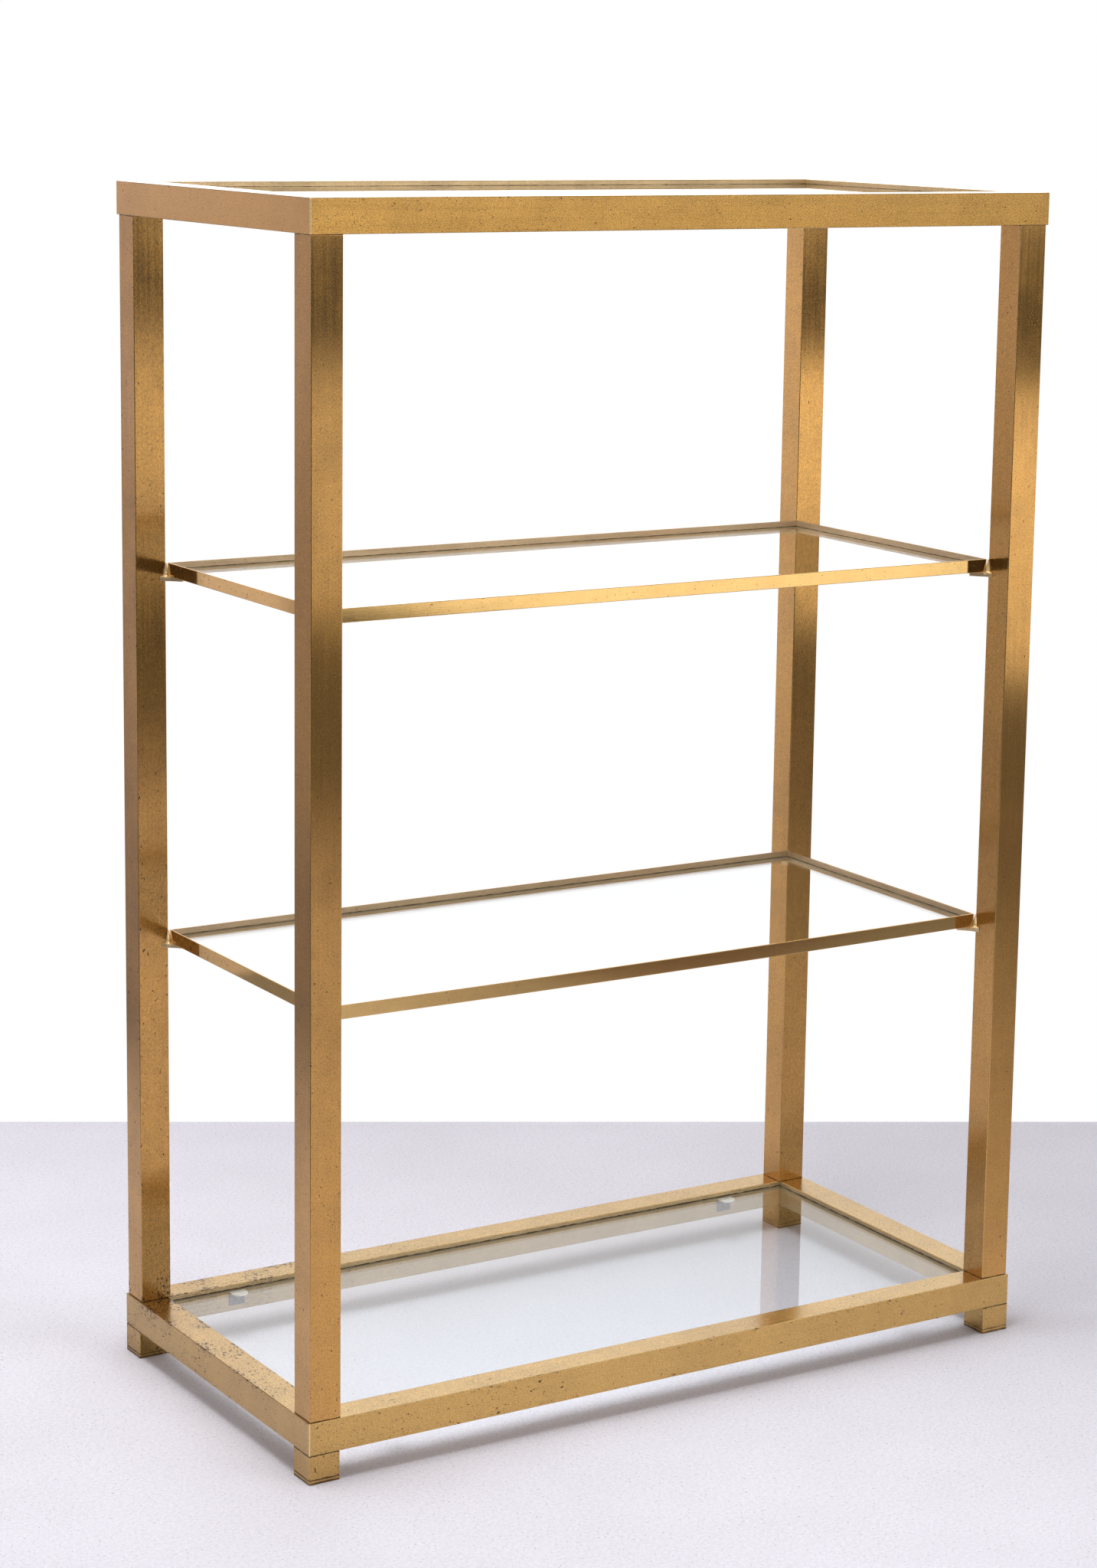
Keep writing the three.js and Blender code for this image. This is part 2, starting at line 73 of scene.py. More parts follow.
# Angle of the shelf frames
ANGLE_WALL = 1.5 * MM
ANGLE_EDGE_RADIUS = 0.6 * MM
ANGLE_TIP_RADIUS = 0.25 * MM
SHELF_CORNER_RADIUS = 0.9 * MM
# The lower shelf's front bar is a little bent by its load
BAR_SAG = 1.6 * MM
BAR_LEAN = math.radians(2.8)
BOW_STATIONS = 12
BOW_SPAN_SHARE = 0.985

# Panes
PANE_ARRIS = 0.4 * MM
PANE_SEAT_GAP = 0.06 * MM
FRAME_PANE_CORNER = 8 * MM
SHELF_PANE_CORNER = 1.5 * MM

# Foot caps
CAP_RIM_HEIGHT = 5 * MM
CAP_EASE = 0.8 * MM
SPIGOT_CLEARANCE = 0.6 * MM

# Clips and their screws
CLIP_THICKNESS = 1.5 * MM
CLIP_BEND_RADIUS = 2 * MM
CLIP_PLATE_CORNER = 1.2 * MM
CLIP_EASE = 0.22 * MM
CLIP_CORNER_STEPS = 6
CLIP_BEND_STEPS = 8
CLIP_NOSE_STEPS = 16
# The nose's arc stops a little short, so that its last station has a width
CLIP_NOSE_SHARE = 0.985
# The pad takes the ledge and this many thicknesses down from its top
CLIP_PAD_DEPTHS = 1.1
CLIP_SCREW_DROP = 9 * MM
SCREW_HEAD_RADIUS = 3.4 * MM
SCREW_HEAD_HEIGHT = 2 * MM
SCREW_SLOT_WIDTH = 0.8 * MM
SCREW_SLOT_DEPTH = 0.9 * MM
SCREW_SLOT_CORNER = 0.1 * MM
SCREW_SHANK_RADIUS = 1.75 * MM
SCREW_SHANK_LENGTH = 3 * MM
SCREW_DOME_SHARE = 0.92
SCREW_TILT = 0.6

# Shelf brackets
BRACKET_REACH = 21 * MM
BRACKET_THICKNESS = 5 * MM
BRACKET_HALF_WIDTH = 4 * MM
BRACKET_ROOT_HALF_WIDTH = 5.4 * MM
BRACKET_END_RADIUS = 1.6 * MM
BRACKET_TOP_ROUND = 1.4 * MM
BRACKET_EASE = 0.4 * MM
BRACKET_CURVE_STEPS = 8
NECK_RADIUS = 6.2 * MM
NECK_WAIST_RADIUS = 2.6 * MM
NECK_RISE = 4.5 * MM
LEG_RADIUS = 1.0 * MM
LEG_HEIGHT = 14 * MM
BRACKET_GAP = 0.3 * MM
SHELF_POST_GAP = 1.3 * MM

WELD = 1e-7
SMOOTH_ANGLE = math.radians(38)
# A face looks along a direction when its normal has more than this of it
FACING = 0.9
# How much of an ease is left at its middle station
EASE_MIDDLE_SHARE = 0.3


# Node trees

# Most values of a noise lie between these
NOISE_LEVELS = (0.3, 0.7)


def add_node(tree, kind, **settings):
    made = tree.nodes.new(f"ShaderNode{kind}")
    for key, value in settings.items():
        setattr(made, key, value)
    return made


def feed(tree, source, socket):
    if isinstance(source, bpy.types.NodeSocket):
        tree.links.new(source, socket)
    else:
        socket.default_value = source


def calculate(tree, operation, *values):
    made = add_node(tree, "Math", operation=operation)
    for value, socket in zip(values, made.inputs):
        feed(tree, value, socket)
    return made.outputs[0]


def product(tree, total, *others):
    for other in others:
        total = calculate(tree, "MULTIPLY", total, other)
    return total


def larger(tree, value, *others):
    for other in others:
        value = calculate(tree, "MAXIMUM", value, other)
    return value


def minus(tree, value, other):
    return calculate(tree, "SUBTRACT", value, other)


def size_of(tree, value):
    return calculate(tree, "ABSOLUTE", value)


def ramp(tree, value, start, end, low=0.0, high=1.0, curve="SMOOTHSTEP"):
    """A value that goes from low at start to high at end, and stays there."""
    made = add_node(tree, "MapRange", interpolation_type=curve)
    feed(tree, value, made.inputs["Value"])
    made.inputs["From Min"].default_value = start
    made.inputs["From Max"].default_value = end
    feed(tree, low, made.inputs["To Min"])
    feed(tree, high, made.inputs["To Max"])
    return made.outputs["Result"]


def spread(tree, level, low, high, curve="SMOOTHSTEP"):
    """A noise's usual levels, drawn out from low to high."""
    return ramp(tree, level, *NOISE_LEVELS, low, high, curve)


def mix_colours(tree, share, first, second, blend="MIX"):
    made = add_node(tree, "Mix", data_type="RGBA", blend_type=blend)
    feed(tree, share, made.inputs[0])
    feed(tree, first, made.inputs[6])
    feed(tree, second, made.inputs[7])
    return made.outputs[2]


def tinted(tree, colour, tint):
    return mix_colours(tree, 1.0, colour, tint, "MULTIPLY")


def noise(tree, place, scale, detail=2.0, stretch=(1, 1, 1), seed=(0, 0, 0), rough=0.5):
    """Noise with scale in cells a metre, drawn out by dividing the scale along an axis."""
    mapping = add_node(tree, "Mapping")
    feed(tree, place, mapping.inputs["Vector"])
    mapping.inputs["Location"].default_value = seed
    mapping.inputs["Scale"].default_value = [scale / s for s in stretch]
    made = add_node(tree, "TexNoise")
    made.inputs["Scale"].default_value = 1
    made.inputs["Detail"].default_value = detail
    made.inputs["Roughness"].default_value = rough
    tree.links.new(mapping.outputs["Vector"], made.inputs["Vector"])
    return made.outputs["Fac"]


def place_on_object(tree):
    return add_node(tree, "TexCoord").outputs["Object"]


def split(tree, vector):
    """The vector's x, y and z."""
    made = add_node(tree, "SeparateXYZ")
    tree.links.new(vector, made.inputs[0])
    return made.outputs


def along(tree, vector, direction, *span):
    """A ramp over how far a vector reaches in a direction, given by its shares of x, y and z."""
    made = add_node(tree, "VectorMath", operation="DOT_PRODUCT")
    tree.links.new(vector, made.inputs[0])
    made.inputs[1].default_value = direction
    return ramp(tree, made.outputs["Value"], *span)


def along_all(tree, vector, rows):
    """The product of such ramps. A row is a direction, a start, an end and the values there."""
    return product(tree, *(along(tree, vector, *row) for row in rows))


def add_shader(tree, kind, inputs):
    """A shader with the named inputs set, or linked where a socket is given."""
    made = add_node(tree, kind)
    for name, source in inputs.items():
        feed(tree, source, made.inputs[name])
    return made


def mix_shaders(tree, share, first, second):
    made = add_node(tree, "MixShader")
    for source, socket in zip((share, first, second), made.inputs):
        tree.links.new(source, socket)
    return made.outputs[0]


def add_relief(tree, shader, height, strength, depth):
    bump = add_node(tree, "Bump")
    bump.inputs["Strength"].default_value = strength
    bump.inputs["Distance"].default_value = depth
    tree.links.new(height, bump.inputs["Height"])
    tree.links.new(bump.outputs["Normal"], shader.inputs["Normal"])


def new_material(name):
    material = bpy.data.materials.new(name)
    material.use_nodes = True
    tree = material.node_tree
    tree.nodes.clear()
    output = add_node(tree, "OutputMaterial")
    return material, tree, output.inputs["Surface"]


def grey(value):
    return (value, value, value, 1)


# Metal

GRAIN_AXES = {"x": 0, "y": 1, "z": 2}

# Noise: the scale in cells a metre, the detail, the stretch along the grain and the roughness
STREAKS = (1500, 3, 160, 0.65)
BROAD_STREAKS = (320, 2, 60, 0.5)
CLOUDS = (14, 4, 1, 0.6)
MOTTLE = (95, 3, 1, 0.6)
PITS = (900, 1, 1.6, 0.6)
CLUSTERS = (24, 2, 1, 0.5)
BLOTS = (360, 3, 1.9, 0.6)
SPECKS = (880, 2, 1.9, 0.5)

# A range is a start and an end, in metres or as levels of noise, and then the values at both
# where they aren't 0 and 1
CLOUD_LEVELS = (0.35, 0.7)
GRAIN_PALE_SHARE = 0.6
CLOUD_GLOSS = (0.35, 0.75, 0.9, 1.2)
SPOT_ROUGHNESS = 0.45

RELIEF_DEPTH = 0.012 * MM
GRAIN_RELIEF = 4
MOTTLE_RELIEF = 0.5
SPOT_RELIEF = -2.0

# Worn edges that also carry a painted highlight, and a painted highlight along the mitred corners
WORN_HIGHLIT_EDGE = (1.1 * MM, 0.5 * MM, 0.0, 0.18)
CORNER_HIGHLIGHT = (1.6 * MM, 0.8 * MM)

GRIME_REACH = 1.3 * MM
GRIME_THIN_SHARE = 0.3
GRIME_LEVELS = (0.35, 0.65)
GRIME_LINE = (0.0, 0.4, 0.0, 0.85)

TARNISH_DOWN = (160 * MM, 50 * MM)
TARNISH_UP_SHARE = 0.3
TARNISH_LEFT = (200 * MM, -380 * MM)
TARNISH_BACK = (-240 * MM, 200 * MM, 0.52, 1.1)
# Below the base frame's upper faces it is weaker
TARNISH_TOP = (64.5 * MM, 65.8 * MM, 0.8, 1.0)
TARNISH_EDGE = (8 * MM, 0.5 * MM, 0.72, 1.12)
CLUSTER_LEVELS = (0.42, 0.62)
BETWEEN_CLUSTERS = 0.45
FAR_CLUSTERS = 0.35
# The limit, how far it sinks where tarnish has gathered, the softness and the strength
BLOT_LIMITS = (0.708, 0.182, 0.011, 1.0)
SPECK_LIMITS = (0.70, 0.15, 0.025, 0.85)


def pattern(tree, place, axis, kind, seed):
    scale, detail, factor, rough = kind
    stretch = [factor if i == axis else 1 for i in range(3)]
    return noise(tree, place, scale, detail, stretch, seed, rough)


def edge_distance(tree, parts, faces):
    """How far a point on square tube is from the nearest long edge. Faces: (axis, level, level)."""
    nearest = []
    for axis, *levels in faces:
        value = parts[axis]
        if axis != GRAIN_AXES["z"]:
            value = size_of(tree, value)
        gaps = [size_of(tree, minus(tree, value, level)) for level in levels]
        nearest.append(calculate(tree, "MINIMUM", *gaps))
    return larger(tree, *nearest)


def spots_of(tree, level, gathered, limit, sinking, softness, strength):
    """Spots where a noise's level is over a limit, which sinks where tarnish has gathered."""
    reach = minus(tree, limit, product(tree, gathered, sinking))
    return ramp(tree, minus(tree, level, reach), 0.0, softness, 0.0, strength)


def tarnish(tree, place, parts, axis, edge, amount):
    """Dark spots. They gather low down, at the back left and along the edges of the tube."""
    x, y, z = parts
    back_left = product(tree, ramp(tree, x, *TARNISH_LEFT), ramp(tree, y, *TARNISH_BACK))
    clusters = ramp(tree, pattern(tree, place, axis, CLUSTERS, (7, 3, 1)), *CLUSTER_LEVELS)
    local = product(tree, back_left, ramp(tree, clusters, 0, 1, BETWEEN_CLUSTERS, 1.0))
    local = larger(tree, local, product(tree, clusters, FAR_CLUSTERS))
    low_down = ramp(tree, ramp(tree, z, *TARNISH_DOWN), 0, 1, TARNISH_UP_SHARE, 1.0)
    gathered = product(tree, local, low_down, ramp(tree, z, *TARNISH_TOP))
    if edge is not None:
        gathered = product(tree, gathered, ramp(tree, edge, *TARNISH_EDGE))
    blots = spots_of(tree, pattern(tree, place, axis, BLOTS, (3, 5, 2)), gathered, *BLOT_LIMITS)
    specks = spots_of(tree, pattern(tree, place, axis, SPECKS, (1, 8, 6)), gathered, *SPECK_LIMITS)
    return product(tree, larger(tree, blots, specks), amount)


def wear_and_highlight(tree, along_grain, edge, corner):
    """How much of the long edges is worn and painted bright as a highlight, and how much of the mitred
    corners carries a painted highlight.
    """
    worn_and_highlit = ramp(tree, edge, *WORN_HIGHLIT_EDGE)
    if corner:
        to_corner = minus(tree, corner, size_of(tree, along_grain))
        worn_and_highlit = larger(tree, worn_and_highlit, ramp(tree, to_corner, *CORNER_HIGHLIGHT))
    return worn_and_highlit


def with_grime(tree, spot, z, mottle, levels, reach):
    """The spots, with ragged lines of dirt added at the levels."""
    for level in levels:
        to_line = size_of(tree, minus(tree, z, level))
        ragged = ramp(tree, mottle, *GRIME_LEVELS, GRIME_THIN_SHARE * reach, reach)
        line = minus(tree, 1, calculate(tree, "DIVIDE", to_line, ragged))
        spot = larger(tree, spot, ramp(tree, line, *GRIME_LINE))
    return spot


def metal(
    name, colour, aged_colour, roughness, grain_axis="x", grain=0.0, lacquer=0.0, spots=0.0,
    clouding=0.5, anisotropy=0.0, lacquer_roughness=0.1, seed=(0, 0, 0), edge_tint=(1, 1, 1),
    haze=0.0, faces=None, corner=None, grime=(), grime_reach=GRIME_REACH, speckle=0.04,
):
    """Drawn metal with its grain along one axis, clouding, fine scratches, tarnish, and worn edges and
    mitred corners with a painted highlight.

    Haze is the share of the surface that scatters light. Faces are the levels of a tube's
    faces across the grain, by which its edges are found. Corner is how far along the grain
    its mitred corners lie, and grime the heights of the seams where dirt has gathered in a line.
    """
    material, tree, surface = new_material(name)
    place = place_on_object(tree)
    parts = split(tree, place)
    axis = GRAIN_AXES[grain_axis]
    streaks, broad, clouds, mottle, pits = (
        pattern(tree, place, axis, kind, seed)
        for kind in (STREAKS, BROAD_STREAKS, CLOUDS, MOTTLE, PITS)
    )
    edge = edge_distance(tree, parts, faces) if faces else None
    spot = tarnish(tree, place, parts, axis, edge, spots)

    shade = ramp(tree, clouds, *CLOUD_LEVELS, 0.0, clouding)
    body = mix_colours(tree, shade, (*colour, 1), (*aged_colour, 1))
    fine = product(
        tree,
        spread(tree, streaks, 1 - grain, 1 + grain * GRAIN_PALE_SHARE, "LINEAR"),
        spread(tree, mottle, low=0.97, high=1.03),
        spread(tree, pits, 1 - speckle, 1 + speckle, "LINEAR"),
    )
    body = tinted(tree, body, fine)
    solid = ramp(tree, spot, 0, 1, low=1 - haze, high=0.8)
    if faces:
        # Painted highlight: worn edges and mitred corners are made paler and less metallic, so that
        # they look lit
        worn_and_highlit = wear_and_highlight(tree, parts[axis], edge, corner)
        body = mix_colours(tree, worn_and_highlit, body, (*WORN_HIGHLIGHT_BRASS, 1))
        solid = ramp(tree, worn_and_highlit, 0, 1, low=solid, high=0.4)
    spot = with_grime(tree, spot, parts["Z"], mottle, grime, grime_reach)
    body = mix_colours(tree, spot, body, (*TARNISH, 1))
    streaked = spread(tree, broad, low=0.88, high=1.12)
    rough = product(tree, streaked, roughness, ramp(tree, clouds, *CLOUD_GLOSS))

    shader = add_shader(tree, "BsdfPrincipled", {
        "Base Color": body,
        "Roughness": calculate(tree, "MULTIPLY_ADD", spot, SPOT_ROUGHNESS, rough),
        "Metallic": solid,
        "Specular Tint": (*edge_tint, 1),
        "Coat Weight": lacquer,
        "Coat Roughness": lacquer_roughness,
    })
    if anisotropy:
        # Gloss spreads across the grain
        across = add_node(tree, "CombineXYZ")
        for i in range(3):
            across.inputs[i].default_value = 0.0 if i == axis else 1.0
        shader.inputs["Anisotropic"].default_value = anisotropy
        tree.links.new(across.outputs[0], shader.inputs["Tangent"])
    relief = calculate(tree, "MULTIPLY_ADD", mottle, MOTTLE_RELIEF, streaks)
    relief = calculate(tree, "MULTIPLY_ADD", spot, SPOT_RELIEF, relief)
    depth = RELIEF_DEPTH * (1 + GRAIN_RELIEF * grain)
    add_relief(tree, shader, relief, strength=0.5, depth=depth)
    tree.links.new(shader.outputs[0], surface)
    return material


POST_BRASS = (0.63, 0.331, 0.077)
FRAME_BRASS = {"base": (0.61, 0.368, 0.103), "top": (0.61, 0.335, 0.078)}
FRAME_INSIDE_BRASS = (0.68, 0.49, 0.26)
SHELF_INSIDE_BRASS = (0.64, 0.46, 0.27)
# Pale brass of worn edges, which also paints the highlights on the edges and the mitred corners
WORN_HIGHLIGHT_BRASS = (0.90, 0.68, 0.31)
TARNISH = (0.085, 0.028, 0.006)
# What brass takes on at a grazing look
BRASS_EDGE = (1.0, 0.96, 0.86)
AGEING = 0.83
CAP_SEAM_HEIGHT = 1.4 * MM


def aged(colour):
    return [AGEING * c for c in colour]


def heights_of(node):
    """The heights of a node's lower and upper end."""
    return [corner[2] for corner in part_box(node)]


def brushed_brass(name, sample, axis, colour, grime=()):
    """The finish of square tube like the sample node, with its grain along the axis."""
    low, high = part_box(sample)
    faces = []
    for i in range(3):
        if i != GRAIN_AXES[axis]:
            levels = (low[i], high[i]) if i == GRAIN_AXES["z"] else (abs(low[i]), abs(high[i]))
            faces.append((i, *levels))
    corner = None if axis == "z" else high[GRAIN_AXES[axis]]
    return metal(
        f"brushed_brass_{name}", colour, aged(colour), 0.19, axis, grain=0.07, lacquer=0.8,
        spots=0.95, anisotropy=0.98, lacquer_roughness=0.12, edge_tint=BRASS_EDGE, haze=0.06,
        faces=faces, corner=corner, grime=grime, speckle=0.24,
    )


def dull_brass(name, axis, colour, grime, grime_reach):
    """The inner side of a rail, which was never polished."""
    return metal(
        f"dull_brass_{name}", colour, aged(colour), 0.34, axis, grain=0.1, spots=0.3,
        clouding=0.7, seed=(6, 2, 9), haze=0.4, grime=grime, grime_reach=grime_reach, speckle=0.1,
    )


def polished_brass(axis):
    return metal(
        f"polished_brass_{axis}", colour=(0.75, 0.485, 0.18), aged_colour=(0.64, 0.41, 0.145),
        roughness=0.05, grain_axis=axis, grain=0.02, lacquer=0.3, spots=0.6, clouding=0.35,
        lacquer_roughness=0.04, seed=(5, 1, 8), edge_tint=BRASS_EDGE, haze=0.04,
    )


BRUSHED = {}
for kind, colour in (("post", POST_BRASS), ("foot", FRAME_BRASS["base"])):
    node = f"{kind}_front_left"
    BRUSHED[kind] = brushed_brass(kind, node, "z", colour, heights_of(node))
for prefix, colour in FRAME_BRASS.items():
    for side, axis in (("front", "x"), ("left", "y")):
        name = f"{prefix}_{axis}"
        BRUSHED[prefix, axis] = brushed_brass(name, f"{prefix}_rail_{side}", axis, colour)
POLISHED = {axis: polished_brass(axis) for axis in "xy"}
INSIDE = {}
for prefix, colour, panes, reach in (
    ("shelf", SHELF_INSIDE_BRASS, ("upper_shelf", "lower_shelf"), 0.8 * MM),
    ("base", FRAME_INSIDE_BRASS, ["base"], 1.3 * MM),
    ("top", FRAME_INSIDE_BRASS, ["top"], 0.5 * MM),
):
    seams = [heights_of(f"{pane}_glass")[1] for pane in panes]
    for axis in "xy":
        INSIDE[prefix, axis] = dull_brass(f"{prefix}_{axis}", axis, colour, seams, reach)
CAST_BRASS = metal(
    "cast_brass", colour=(0.93, 0.71, 0.40), aged_colour=(0.82, 0.56, 0.27), roughness=0.16,
    grain_axis="z", grain=0.03, lacquer=0.25, spots=0.4, clouding=0.4, lacquer_roughness=0.08,
    seed=(2, 9, 4), haze=0.45,
)
AGED_BRASS = metal(
    "aged_brass", colour=(0.60, 0.38, 0.12), aged_colour=(0.44, 0.27, 0.085), roughness=0.24,
    grain=0.12, lacquer=0.5, spots=1.0, clouding=0.8, lacquer_roughness=0.2,
    seed=(1, 4, 6), haze=0.2, speckle=0.15, grime=(0, CAP_SEAM_HEIGHT, CAP_RIM_HEIGHT),
)
NICKEL = metal(
    "nickel_plate", colour=(0.18, 0.16, 0.18), aged_colour=(0.13, 0.115, 0.125), roughness=0.42,
    grain=0.06, spots=0.5, clouding=0.7, seed=(4, 4, 2), haze=0.7,
)
CLIP_PAD = metal(
    "clip_pad", colour=(0.93, 0.90, 0.82), aged_colour=(0.86, 0.81, 0.71), roughness=0.3,
    grain=0.03, spots=0.2, clouding=0.6, seed=(9, 4, 2), haze=0.7,
)
STEEL = metal(
    "zinc_steel", colour=(0.52, 0.53, 0.54), aged_colour=(0.40, 0.39, 0.37), roughness=0.34,
    grain_axis="z", grain=0.12, spots=0.6, clouding=0.8, seed=(8, 2, 5), haze=0.1,
)


# Glass

GLASS_IOR = 1.5
GROUND_COLOURS = ((0.20, 0.17, 0.10, 1), (0.30, 0.26, 0.16, 1))


def clear_glass():
    """Clear float glass with faint smears. Lamps reach through it."""
    material, tree, surface = new_material("clear_glass")
    place = place_on_object(tree)
    smears = noise(tree, place, scale=9, detail=4, stretch=(1, 2.5, 1), rough=0.6)
    shader = add_shader(tree, "BsdfPrincipled", {
        "Base Color": (0.853, 0.860, 0.862, 1),
        "IOR": GLASS_IOR,
        "Transmission Weight": 1,
        "Roughness": ramp(tree, smears, 0.45, 0.8, low=0.0, high=0.035),
    })
    open_to_lamps = add_shader(tree, "BsdfTransparent", {"Color": (0.93, 0.945, 0.95, 1)})
    rays = add_node(tree, "LightPath")
    both = (shader.outputs[0], open_to_lamps.outputs[0])
    tree.links.new(mix_shaders(tree, rays.outputs["Is Shadow Ray"], *both), surface)
    return material


def ground_edge():
    """The ground rim of a pane, as dark as float glass is when looked into from its edge."""
    material, tree, surface = new_material("glass_edge")
    grinding = noise(tree, place_on_object(tree), scale=900, detail=3, rough=0.6)
    shader = add_shader(tree, "BsdfPrincipled", {
        "Base Color": mix_colours(tree, spread(tree, grinding, low=0.0, high=1.0), *GROUND_COLOURS),
        "Roughness": spread(tree, grinding, low=0.28, high=0.45),
        "IOR": GLASS_IOR,
    })
    tree.links.new(shader.outputs[0], surface)
    return material


GLASS = clear_glass()
GLASS_EDGE = ground_edge()


# Meshes

def put_in_scene(name, data):
    made = bpy.data.objects.new(name, data)
    bpy.context.scene.collection.objects.link(made)
    return made


def add_piece(name, mesh, materials, node, smooth=SMOOTH_ANGLE):
    """A finished piece that rides on its node's body and stands for the node."""
    mesh.shade_smooth()
    mesh.set_sharp_from_angle(angle=smooth)
    for material in materials:
        mesh.materials.append(material)
    piece = put_in_scene(name, mesh)
    weighted = piece.modifiers.new("flat faces stay flat", "WEIGHTED_NORMAL")
    weighted.keep_sharp = True
    weighted.weight = 100
    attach(piece, BODY_OF[node])
    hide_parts(node)
    return piece


def mesh_of(name, points, faces):
    made = bmesh.new()
    corners = [made.verts.new(p) for p in points]
    for face in faces:
        made.faces.new([corners[i] for i in face])
    bmesh.ops.remove_doubles(made, verts=made.verts, dist=WELD)
    bmesh.ops.recalc_face_normals(made, faces=made.faces)
    mesh = bpy.data.meshes.new(name)
    made.to_mesh(mesh)
    made.free()
    return mesh


def loft(name, loops, ring=False):
    """A closed skin over loops with as many points each. A ring's last loop joins its first."""
    count = len(loops[0])
    points = [p for loop in loops for p in loop]
    faces = []
    spans = len(loops) if ring else len(loops) - 1
    for j in range(spans):
        first, second = j * count, (j + 1) % len(loops) * count
        for i in range(count):
            k = (i + 1) % count
            faces.append((first + i, first + k, second + k, second + i))
    if not ring:
        faces.append(tuple(range(count))[::-1])
        faces.append(tuple((len(loops) - 1) * count + i for i in range(count)))
    return mesh_of(name, points, faces)


def arc(centre, radius, start, end, steps):
    return [
        (
            centre[0] + radius * math.cos(start + (end - start) * i / steps),
            centre[1] + radius * math.sin(start + (end - start) * i / steps),
        )
        for i in range(steps + 1)
    ]


def rounded_rectangle(width, height, radius, steps=ARC_STEPS, inset=0.0):
    """Points of a rectangle with round corners about the origin, drawn in by the inset."""
    x, y = width / 2 - radius, height / 2 - radius
    points = []
    for i, (sx, sy) in enumerate(((1, 1), (-1, 1), (-1, -1), (1, -1))):
        points += arc((sx * x, sy * y), radius - inset, i * QUARTER, (i + 1) * QUARTER, steps)
    return points


def centre_of(low, high):
    return [(a + b) / 2 for a, b in zip(low, high)]


def stacked(centre, *levels):
    """Loops about a centre. A level is an outline and its height."""
    return [[(centre[0] + x, centre[1] + y, z) for x, y in outline] for outline, z in levels]


def add_upright_tube(node, name, material):
    """A post or a foot: square tube on end, with eased ends."""
    low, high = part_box(node)
    centre = centre_of(low, high)
    side = high[0] - low[0]
    bore = side - 2 * TUBE_WALL
    full = rounded_rectangle(side, side, TUBE_EDGE_RADIUS)
    eased = rounded_rectangle(side, side, TUBE_EDGE_RADIUS, inset=TUBE_END_EASE)
    inner = rounded_rectangle(bore, bore, BORE_RADIUS)
    loops = stacked(
        centre,
        (eased, low[2]),
        (full, low[2] + TUBE_END_EASE),
        (full, high[2] - TUBE_END_EASE),
        (eased, high[2]),
        (inner, high[2]),
        (inner, low[2]),
    )
    add_piece(name, loft(name, loops, ring=True), [material], node)


def side_frame(prefix, side):
    """Length and placing of one side's rail: x along it, y inward from its outer face, z up."""
    boxes = [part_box(f"{prefix}_rail_{other}") for other in SIDES]
    low = [min(b[0][i] for b in boxes) for i in range(3)]
    high = [max(b[1][i] for b in boxes) for i in range(3)]
    spans = (high[0] - low[0], high[1] - low[1])
    turns = SIDES[side]
    length = spans[turns % 2]
    outward = spans[(turns + 1) % 2] / 2
    centre = centre_of(low, high)
    turn = Matrix.Rotation(turns * math.pi / 2, 4, "Z")
    placing = Matrix.Translation((centre[0], centre[1], low[2])) @ turn
    return length, placing @ Matrix.Translation((0, -outward, 0))


def bowed_loops(section, half, placing, sag, lean):
    """Stations between a bowed rail's ends: it hangs lower and leans back in its middle."""
    middle = [(min(p[k] for p in section) + max(p[k] for p in section)) / 2 for k in (0, 1)]
    loops = []
    for i in range(1, BOW_STATIONS):
        share = 2 * i / BOW_STATIONS - 1
        bow = 1 - share * share
        turn = Matrix.Rotation(-lean * bow, 2)
        loop = []
        for inward, up in section:
            offset = turn @ Vector((inward - middle[0], up - middle[1]))
            y, z = middle[0] + offset[0], middle[1] + offset[1] - sag * bow
            loop.append(placing @ Vector((BOW_SPAN_SHARE * share * half, y, z)))
        loops.append(loop)
    return loops


def rail_loops(section, length, corner_radius, placing, sag=0.0, lean=0.0):
    """The section, as points inward and up, run between the mitres and round half corners."""
    half = length / 2
    loops = []
    for end in (-1, 1):
        angles = [math.pi / 4 * (1 + i / ARC_STEPS) for i in range(ARC_STEPS + 1)]
        if end > 0:
            angles.reverse()
            if sag or lean:
                loops += bowed_loops(section, half, placing, sag, lean)
        for angle in angles:
            loop = []
            for inward, up in section:
                reach = half - inward
                depth = inward
                if inward < corner_radius:
                    radius = corner_radius - inward
                    reach = half - corner_radius + radius * math.cos(angle)
                    depth = corner_radius - radius * math.sin(angle)
                loop.append(placing @ Vector((end * reach, depth, up)))
            loops.append(loop)
    return loops


def add_tube_frame(prefix):
    for side in SIDES:
        node = f"{prefix}_rail_{side}"
        length, placing = side_frame(prefix, side)
        low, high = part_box(node)
        height = high[2] - low[2]
        half = height / 2
        outer = [(x + half, y + half) for x, y in rounded_rectangle(height, height, TUBE_EDGE_RADIUS)]
        bore = height - 2 * TUBE_WALL
        inner = [(x + half, y + half) for x, y in rounded_rectangle(bore, bore, BORE_RADIUS)]
        outside = rail_loops(outer, length, MITRE_EDGE_RADIUS, placing)
        inside = rail_loops(inner, length, 0, placing)
        loops = outside + [inside[-1], inside[0]]
        axis = "xy"[SIDES[side] % 2]
        name = f"{node}_tube"
        mesh = loft(name, loops, ring=True)
        # The side towards the pane isn't polished
        inward = (placing.to_3x3() @ Vector((0, 1, 0))).normalized()
        inner_reach = (placing @ Vector((0, height, 0))).to_2d().length + TUBE_WALL / 2
        for face in mesh.polygons:
            looks_inward = face.normal.dot(inward) > FACING
            face.material_index = int(looks_inward and abs(face.center.dot(inward)) < inner_reach)
        add_piece(name, mesh, [BRUSHED[prefix, axis], INSIDE[prefix, axis]], node)


